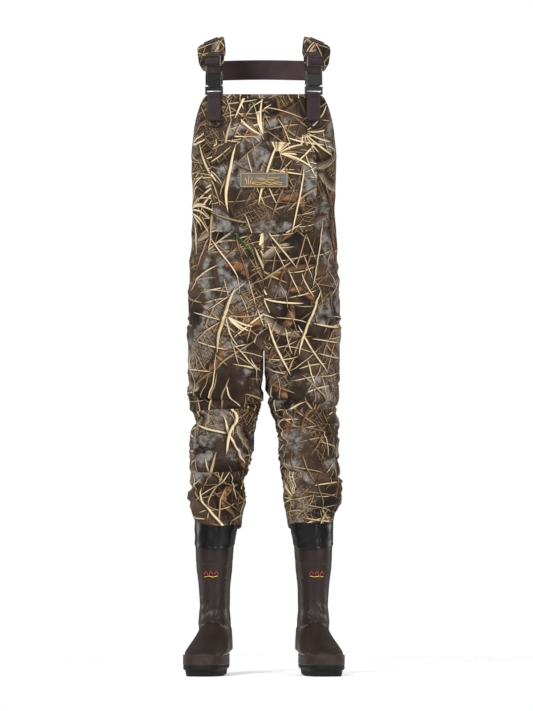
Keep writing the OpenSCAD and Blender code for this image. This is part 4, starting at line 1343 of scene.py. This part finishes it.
BOOT_RINGS = np.array([
    foot_ring(-239.8, 39, 7), foot_ring(-238.8, 47, 19), foot_ring(-234.5, 55, 29), foot_ring(-222, 63, 38),
    foot_ring(-203, 70, 44), foot_ring(-175, 78, 49), foot_ring(-140, 88, 50), foot_ring(-105, 102, 48),
    foot_ring(-75, 118, 44), heel_ring(90, 104), heel_ring(72, 109), heel_ring(58, 122), heel_ring(50, 135),
    heel_ring(44, 138), heel_ring(32, 125), heel_ring(16, 112), heel_ring(0, 108),
    shaft_ring(165, 38, 53, 5), shaft_ring(200, 38, 52, 4), shaft_ring(240, 41, 54, 2),
    shaft_ring(285, 45, 55, 0), shaft_ring(330, 47, 56, 0)], float)


def boot_surface(steps, cols):
    """The boot's smooth skin as a grid: rings from the toe to the top, each starting at its outer side."""
    fine, _ = along_path(BOOT_RINGS * [1, 1, 1, 1, 1, 0.9], steps)
    fine[:, 5] /= 0.9
    kernel = np.hanning(9) / np.hanning(9).sum()
    padded = np.pad(fine, ((4, 4), (0, 0)), "edge")
    smooth = np.stack([np.convolve(padded[:, k], kernel, "valid") for k in range(6)], 1)
    keep = ease((np.arange(steps) - 4) / 10)[:, None]
    fine = fine * (1 - keep) + smooth * keep
    a = np.linspace(0, 2 * PI, cols, endpoint=False)[None, :]
    foot = ease(fine[:, 5] / 60)[:, None]
    flat = 2.1 + (4.5 - 2.1) * foot
    n = np.where(np.sin(a) > 0, flat, 2.1 + 0 * flat)
    u = fine[:, 3:4] * spow(np.cos(a), 2 / n)
    v = fine[:, 4:5] * spow(np.sin(a), 2 / n)
    t = np.radians(fine[:, 5:6])
    p = np.stack([fine[:, 0:1] + u, fine[:, 1:2] + np.cos(t) * v, fine[:, 2:3] - np.sin(t) * v], -1)
    blur = np.hanning(35) / np.hanning(35).sum()
    for _ in range(3):      # one soft bend where the shaft meets the foot
        padded = np.pad(p, ((17, 17), (0, 0), (0, 0)), "edge")
        soft = sum(k * padded[i:i + steps] for i, k in enumerate(blur))
        p = p + (soft - p) * (hill(p[..., 2], 142, 40) * ease((-p[..., 1] - 5) / 25))[..., None]
    return p, fine


def ridge(d, width):
    return np.exp(-(d / width) ** 2)


def step_edge(d, width):
    """0 below a line, 1 above it."""
    return ease(d / width * 0.5 + 0.5)


def boot_detail(p):
    """Raised bands, seams, creases and wrinkles on the boot, in mm off its skin."""
    x, y, z = p[..., 0], p[..., 1], p[..., 2]
    ax = np.abs(x + 3 * np.sin(np.pi * np.clip((HEEL_BACK - y) / SOLE_LEN, 0, 1)))
    front = ease((-y - 5) / 35)
    # raised panels either side of a tongue that widens from the ankle down to the toe, and a toe cap
    tongue = 21 + 24 * ease((140 - z) / 80) + 0.9 * np.sin(y / 14)
    panel = step_edge(ax - tongue, 2.2) * 1.1 * ease((-y - 40) / 20) * ease((z - 52) / 8)
    overlay = panel * ease((150 - z) / 12)
    cap = step_edge(-176 - 0.010 * ax ** 2 - y, 2.6) * 0.6
    groove = -0.7 * ridge(ax - tongue - 4, 1.0) * ease((-y - 45) / 20) * ease((z - 55) / 8)
    groove = groove * ease((140 - z) / 12)
    # the tongue's two ribs in front of the ankle, running from the vamp up to the shaft
    rib_at = 12 + 0.16 * np.abs(z - 158) + 1.2 * np.sin(z / 3.1 + x)
    rib = (2.4 + 0.8 * np.sin(z / 2.7 + x / 3)) * ridge(ax - rib_at, 3.2) * hill(z, 153, 21) * front
    # wrinkles where the ankle bends
    bend = ease((z - 95) / 25) * ease((205 - z) / 40)
    wrinkle = np.sin(z / 5.2 + x / 26 + np.sin(x / 17 + z / 31) * 1.6) * bend * (0.25 + 0.35 * front)
    # the shaft: a raised pull band near the top, a seam down each side and down the back
    band = step_edge(z - 286 - 0.05 * y, 2.0) * 0.8 + 0.7 * ridge(z - 240 - 0.03 * y, 1.6)
    seam = 1.0 * ridge(y - 6, 2.2) * ease((z - 120) / 20) * ease((ax - 20) / 10)
    counter = step_edge(118 - z - 0.002 * (y - 40) ** 2, 2.4) * 1.2 * ease((y + 10) / 14)
    soft = ripples(y + x * 0.5, z, 70, 91) * 0.7 * ease((z - 70) / 60)
    return overlay + cap + groove + rib + wrinkle + band + seam + counter + soft


def fit_boot(p):
    """Keeps the foot inside the foxing and raises the shaft's top towards the back."""
    x, y, z = p[..., 0], p[..., 1], p[..., 2]
    s = (HEEL_BACK - y) / SOLE_LEN
    middle = -3 * np.sin(np.pi * np.clip(s, 0, 1))
    room = sole_half_w(np.clip(0.5 + 1.01 * (s - 0.5), 0.003, 0.997)) - 5.6 + 60 * ease((z - 50) / 50)
    x = np.clip(x, middle - room, middle + room)
    return np.stack([x, y, z + 0.22 * y * ease((z - 240) / 80)], -1)


for side, m in SIDES.items():
    p, rings = boot_surface(210, 200)
    n = grid_normals(p, wrap=True)
    middle = rings[:, None, :3]
    n = n * np.sign((n * (p - middle)).sum(-1, keepdims=True))
    shown = fit_boot(p + n * boot_detail(p)[..., None])
    world = boot_world(side, shown)
    uvs = uv_grid(np.linspace(0, 0.3, 200), np.linspace(0, 0.6, 210))
    inward = (grid_normals(world, wrap=True) * (boot_world(side, p + n) - boot_world(side, p))).sum() <= 0
    upper = walled_object("boot_shell_" + side, world, uvs, 3.0 * MM, [BOOT, LINING], wrap=True, flip=inward)
    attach(upper, side + "_shin")
    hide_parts("boot_upper_" + side)

    # the foxing band: knurled low down, most of all at the toe, with a rolled lip at its top
    o, run = sole_outline(420)
    toe = ease((-o[:, 1] - 170) / 50)
    top = FOXING_TOP + 3.0 * toe + 3.0 * ease((o[:, 1] - 20) / 40)
    tang = unit_rows(np.roll(o, -1, 0) - np.roll(o, 1, 0))
    out = np.stack([-tang[:, 1], tang[:, 0]], 1)
    out *= np.sign((out * (o - o.mean(0))).sum())
    levels = [(FOXING_LOW, -2.4), (27.9, -0.4), (29.0, 0.3), (31.0, 0.6), (33.0, 0.4), (34.0, 0.4),
              (36.0, 0.5), (40.0, 0.6), (44.0, 0.7), (46.0, 0.8), (47.2, 1.0), (48.6, 1.2), (50.0, 1.0),
              (51.2, 0.2), (51.6, -2.6)]
    fringe = []
    for zl, off in levels:
        k = (zl - FOXING_LOW) / (FOXING_TOP - FOXING_LOW)
        z = FOXING_LOW + k * (top - FOXING_LOW)
        ribs = np.sign(np.sin(run * 2 * PI / KNURL_PITCH))
        knurl = 0.16 * ribs * (1 if 34 <= zl <= 45 else 0) * (0.3 + 0.7 * toe)
        xy = o + out * (off + knurl - 0.9 * k - FOXING_IN)[:, None]
        fringe.append(np.concatenate([xy, z[:, None]], 1))
    fringe = np.stack(fringe, 0)
    grid = boot_world(side, fringe)
    uv = uv_grid(run * MM, np.array([level[0] for level in levels]) * MM)
    off_band = fringe[6] + np.concatenate([out, 0 * out[:, :1]], 1)
    check = grid_normals(grid, wrap=True)[6] * (boot_world(side, off_band) - boot_world(side, fringe[6]))
    inside_out = check.sum() < 0
    band = walled_object("foxing_band_" + side, grid, uv, 1.5 * MM, [FOXING], wrap=True, flip=inside_out)
    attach(band, side + "_shin")
    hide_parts("foxing_" + side)

    # the outsole: full width above, stepped in below, with cross lugs and a raised shank
    rows = [(SOLE_TOP, 5.6), (26.5, 4.6), (24, 4.1), (21, 4.3), (18, 4.8), (16.6, 5.6), (15.6, 7.6),
            (14.6, 9.6), (10, 10.4), (5, 10.9), (2.2, 11.6), (0.25, 13.4)]
    ahead = (HEEL_BACK - o[:, 1]) / SOLE_LEN
    shank = ease((ahead - 0.30) / 0.03) * ease((0.44 - ahead) / 0.03)
    rings_out = []
    for zl, inset in rows:
        tooth = ease((np.sin(run * 2 * PI / LUG_PITCH) + 0.25) / 0.3) * (1 if zl < 15.5 else 0)
        xy = o - out * (inset + tooth * 1.1)[:, None]
        z = zl + shank * max(0, 7 - zl)
        rings_out.append(np.concatenate([xy, z[:, None]], 1))
    # the underside, drawn in towards the middle line with a lug pattern
    last = rings_out[-1]
    spine = np.stack([-3 * np.sin(np.pi * ahead), np.clip(last[:, 1], -222, 42)], 1)
    for k in np.linspace(0.06, 1.0, 26):
        xy = last[:, :2] * (1 - k) + spine * k
        chevron = np.sin((xy[:, 1] + np.abs(xy[:, 0] - spine[:, 0]) * 0.35) * 2 * PI / TREAD_PITCH)
        cut = ease((chevron - 0.35) / 0.25) * ease((k - 0.10) / 0.08)
        central = ridge(xy[:, 0] - spine[:, 0], 3.5)
        z = 0.25 + 5.6 * np.maximum(cut, central * ease((k - 0.1) / 0.1)) + shank * 6.8
        rings_out.append(np.concatenate([xy, np.minimum(z, 7.6)[:, None]], 1))
    top_in = o - out * 14
    first = np.concatenate([top_in, np.full((len(o), 1), SOLE_TOP)], 1)
    grid = boot_world(side, np.stack([first] + rings_out, 0)[::-1])
    count, cols = grid.shape[:2]
    faces = grid_faces(count, cols, wrap=True, flip=inside_out)
    faces.append(tuple((count - 1) * cols + j for j in range(cols)))
    sole = make_object("lugged_sole_" + side, grid.reshape(-1, 3), faces, np.zeros((count * cols, 2)), [SOLE])
    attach(sole, side + "_shin")
    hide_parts("outsole_" + side)
    finish_node("insole_" + side, FELT, 1.0)

    # the collar: a glossy tube between the boot and the cloth, creased where it was folded
    a = np.linspace(-180, 180, 180, endpoint=False)[None, :]
    t = np.linspace(0, 1, 70)[:, None]
    half_w = smooth_curve([(0, 50.0), (0.2, 51.2), (0.6, 54.6), (1, 57.2)])(t)
    half_d = between(60.0, 63.5, t)
    cx = between(123.5, 116.5, t)
    rad = np.radians(a)
    px = half_w * spow(np.cos(rad), 2 / 2.1)
    py = half_d * spow(np.sin(rad), 2 / 2.1)
    up = t * (COLLAR_HIGH - COLLAR_LOW)
    lip = 0.35 * ridge(up - 3.0, 2.2)
    bent = a + 82 + (7 if m < 0 else -10) + 6 * np.sin(t * 4) * (1 if m < 0 else 0.3)
    crease = (-1.8 * ridge(bent, 2.4) + 1.8 * ridge(bent - 5, 2.6)) * ease(t * 9) * (1.0 if m < 0 else 0.7)
    crumple = ripples(rad * 60, up * 1.7, 40, 101 + (m > 0)) * 0.35 * ease(t * 5)
    off = lip + crease + crumple
    nx, ny = np.cos(rad) + 0 * t, np.sin(rad) + 0 * t
    z = between(COLLAR_LOW, COLLAR_HIGH, t) + 0.22 * py * (1 - t)
    tube = np.stack([cx + px + nx * off, BOOT_Y + py + ny * off, z], -1)
    uv = np.stack(np.broadcast_arrays(a * 0.001, t * 0.08), -1)
    collar = walled_object("rubber_collar_" + side, mirrored(tube * MM, m), uv, 1.3 * MM, [COLLAR, LINING],
                           wrap=True, flip=m < 0)
    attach(collar, side + "_shin")
    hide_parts("boot_collar_" + side)


# ---------------------------------------------------------------- plain marks on the boot shafts

MARK_LIFT = 0.6


def shaft_front(side, x, z):
    """Points on the front of a boot's shaft, x and z in mm as seen from in front."""
    x, z = np.broadcast_arrays(np.asarray(x, float), np.asarray(z, float))
    shaft = BOOT_RINGS[-4:]
    middle, half_w, half_d = (np.interp(z, shaft[:, 2], shaft[:, k]) for k in (1, 3, 4))
    y = middle - half_d * (1 - (np.abs(x) / half_w) ** 2.1) ** (1 / 2.1)
    y = y - 1.0 - MARK_LIFT
    return boot_world(side, np.stack([x, y, z + 0.22 * y * ease((z - 240) / 80)], -1))


def shaft_mark(name, side, x, z, radius, material):
    ob = tube_object(name, shaft_front(side, x, z), radius * MM, [material], 8)
    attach(ob, side + "_shin")


for side in SIDES:
    for k, x0 in enumerate((-13, 0, 13)):        # three plain chevrons over a wavy line
        shaft_mark("red_chevron_%s_%d" % (side, k), side, x0 + np.array([-4.6, -2.3, 0, 2.3, 4.6]),
                   np.array([251.5, 256.5, 261.5, 256.5, 251.5]), 1.15, MARK_RED)
    x = np.linspace(-17, 17, 30)
    shaft_mark("yellow_wave_" + side, side, x, 246.0 + 0.9 * np.sin(x / 3.4), 0.95, BADGE_YELLOW)


# ---------------------------------------------------------------- studio

FLOOR_R, WORLD_LIGHT = 2.5, 0.16


def studio_paper():
    """White paper that fades out towards its edge, into the white world."""
    s = Shader("studio_paper")
    r = Value(s, s.node("VectorMath", {0: s.place()}, operation="LENGTH").outputs["Value"])
    return s.finish(base_color=rgb(.90, .90, .90), roughness=0.9, specular_ior_level=0.0,
                    emission_color=rgb(1, 1, 1), emission_strength=0.22, alpha=s.step(r, 2.4, 0.5))


turn = np.linspace(0, 2 * PI, 64, endpoint=False)
floor = make_object("floor", [(FLOOR_R * math.cos(a), FLOOR_R * math.sin(a), 0) for a in turn],
                    [tuple(range(64))], materials=[studio_paper()], smooth=False)
floor.location.z = -0.0004

# the world shows white to the camera, and lights the part softly
world = bpy.data.worlds.new("studio")
bpy.context.scene.world = world
world.use_nodes = True
tree = world.node_tree
white = tree.nodes["Background"]
white.inputs[0].default_value = (1, 1, 1, 1)
white.inputs[1].default_value = 1.0
dim = tree.nodes.new("ShaderNodeBackground")
dim.inputs[0].default_value = (1, 1, 1, 1)
dim.inputs[1].default_value = WORLD_LIGHT
ray = tree.nodes.new("ShaderNodeLightPath")
choose = tree.nodes.new("ShaderNodeMixShader")
tree.links.new(ray.outputs["Is Camera Ray"], choose.inputs[0])
tree.links.new(dim.outputs[0], choose.inputs[1])
tree.links.new(white.outputs[0], choose.inputs[2])
tree.links.new(choose.outputs[0], tree.nodes["World Output"].inputs[0])


def area_light(name, place, aim, size, power):
    data = bpy.data.lights.new(name, "AREA")
    data.shape = "RECTANGLE"
    data.size, data.size_y = size
    data.energy = power
    ob = bpy.data.objects.new(name, data)
    bpy.context.scene.collection.objects.link(ob)
    ob.location = place
    ob.rotation_euler = (Vector(aim) - Vector(place)).to_track_quat("-Z", "Y").to_euler()


area_light("key", (-1.6, -3.6, 2.6), (0, 0, 0.9), (1.2, 2.2), 175)
area_light("fill", (2.6, -3.2, 1.6), (0, 0, 0.8), (1.2, 2.4), 85)
area_light("top", (0, -0.8, 3.8), (0, 0, 0.8), (2.0, 1.2), 50)
area_light("rim_left", (2.6, 1.4, 1.4), (0, 0, 0.9), (0.5, 2.4), 40)
area_light("rim_right", (-2.6, 1.4, 1.4), (0, 0, 0.9), (0.5, 2.4), 40)

camera_data = bpy.data.cameras.new("camera")
camera = bpy.data.objects.new("camera", camera_data)
bpy.context.scene.collection.objects.link(camera)
bpy.context.scene.camera = camera
camera_data.sensor_fit = "VERTICAL"
DISTANCE, VIEW_HEIGHT, SENSOR = 30.0, 1.7775, 24     # from far off, as the photo has little perspective
camera_data.sensor_height = SENSOR
camera_data.lens = SENSOR * DISTANCE / VIEW_HEIGHT
camera_data.clip_end = 200
camera.location = (0.0065, -DISTANCE, 0.7985)
camera.rotation_euler = (PI / 2, 0, 0)
bpy.context.scene.view_settings.view_transform = "Standard"

bpy.context.view_layer.update()
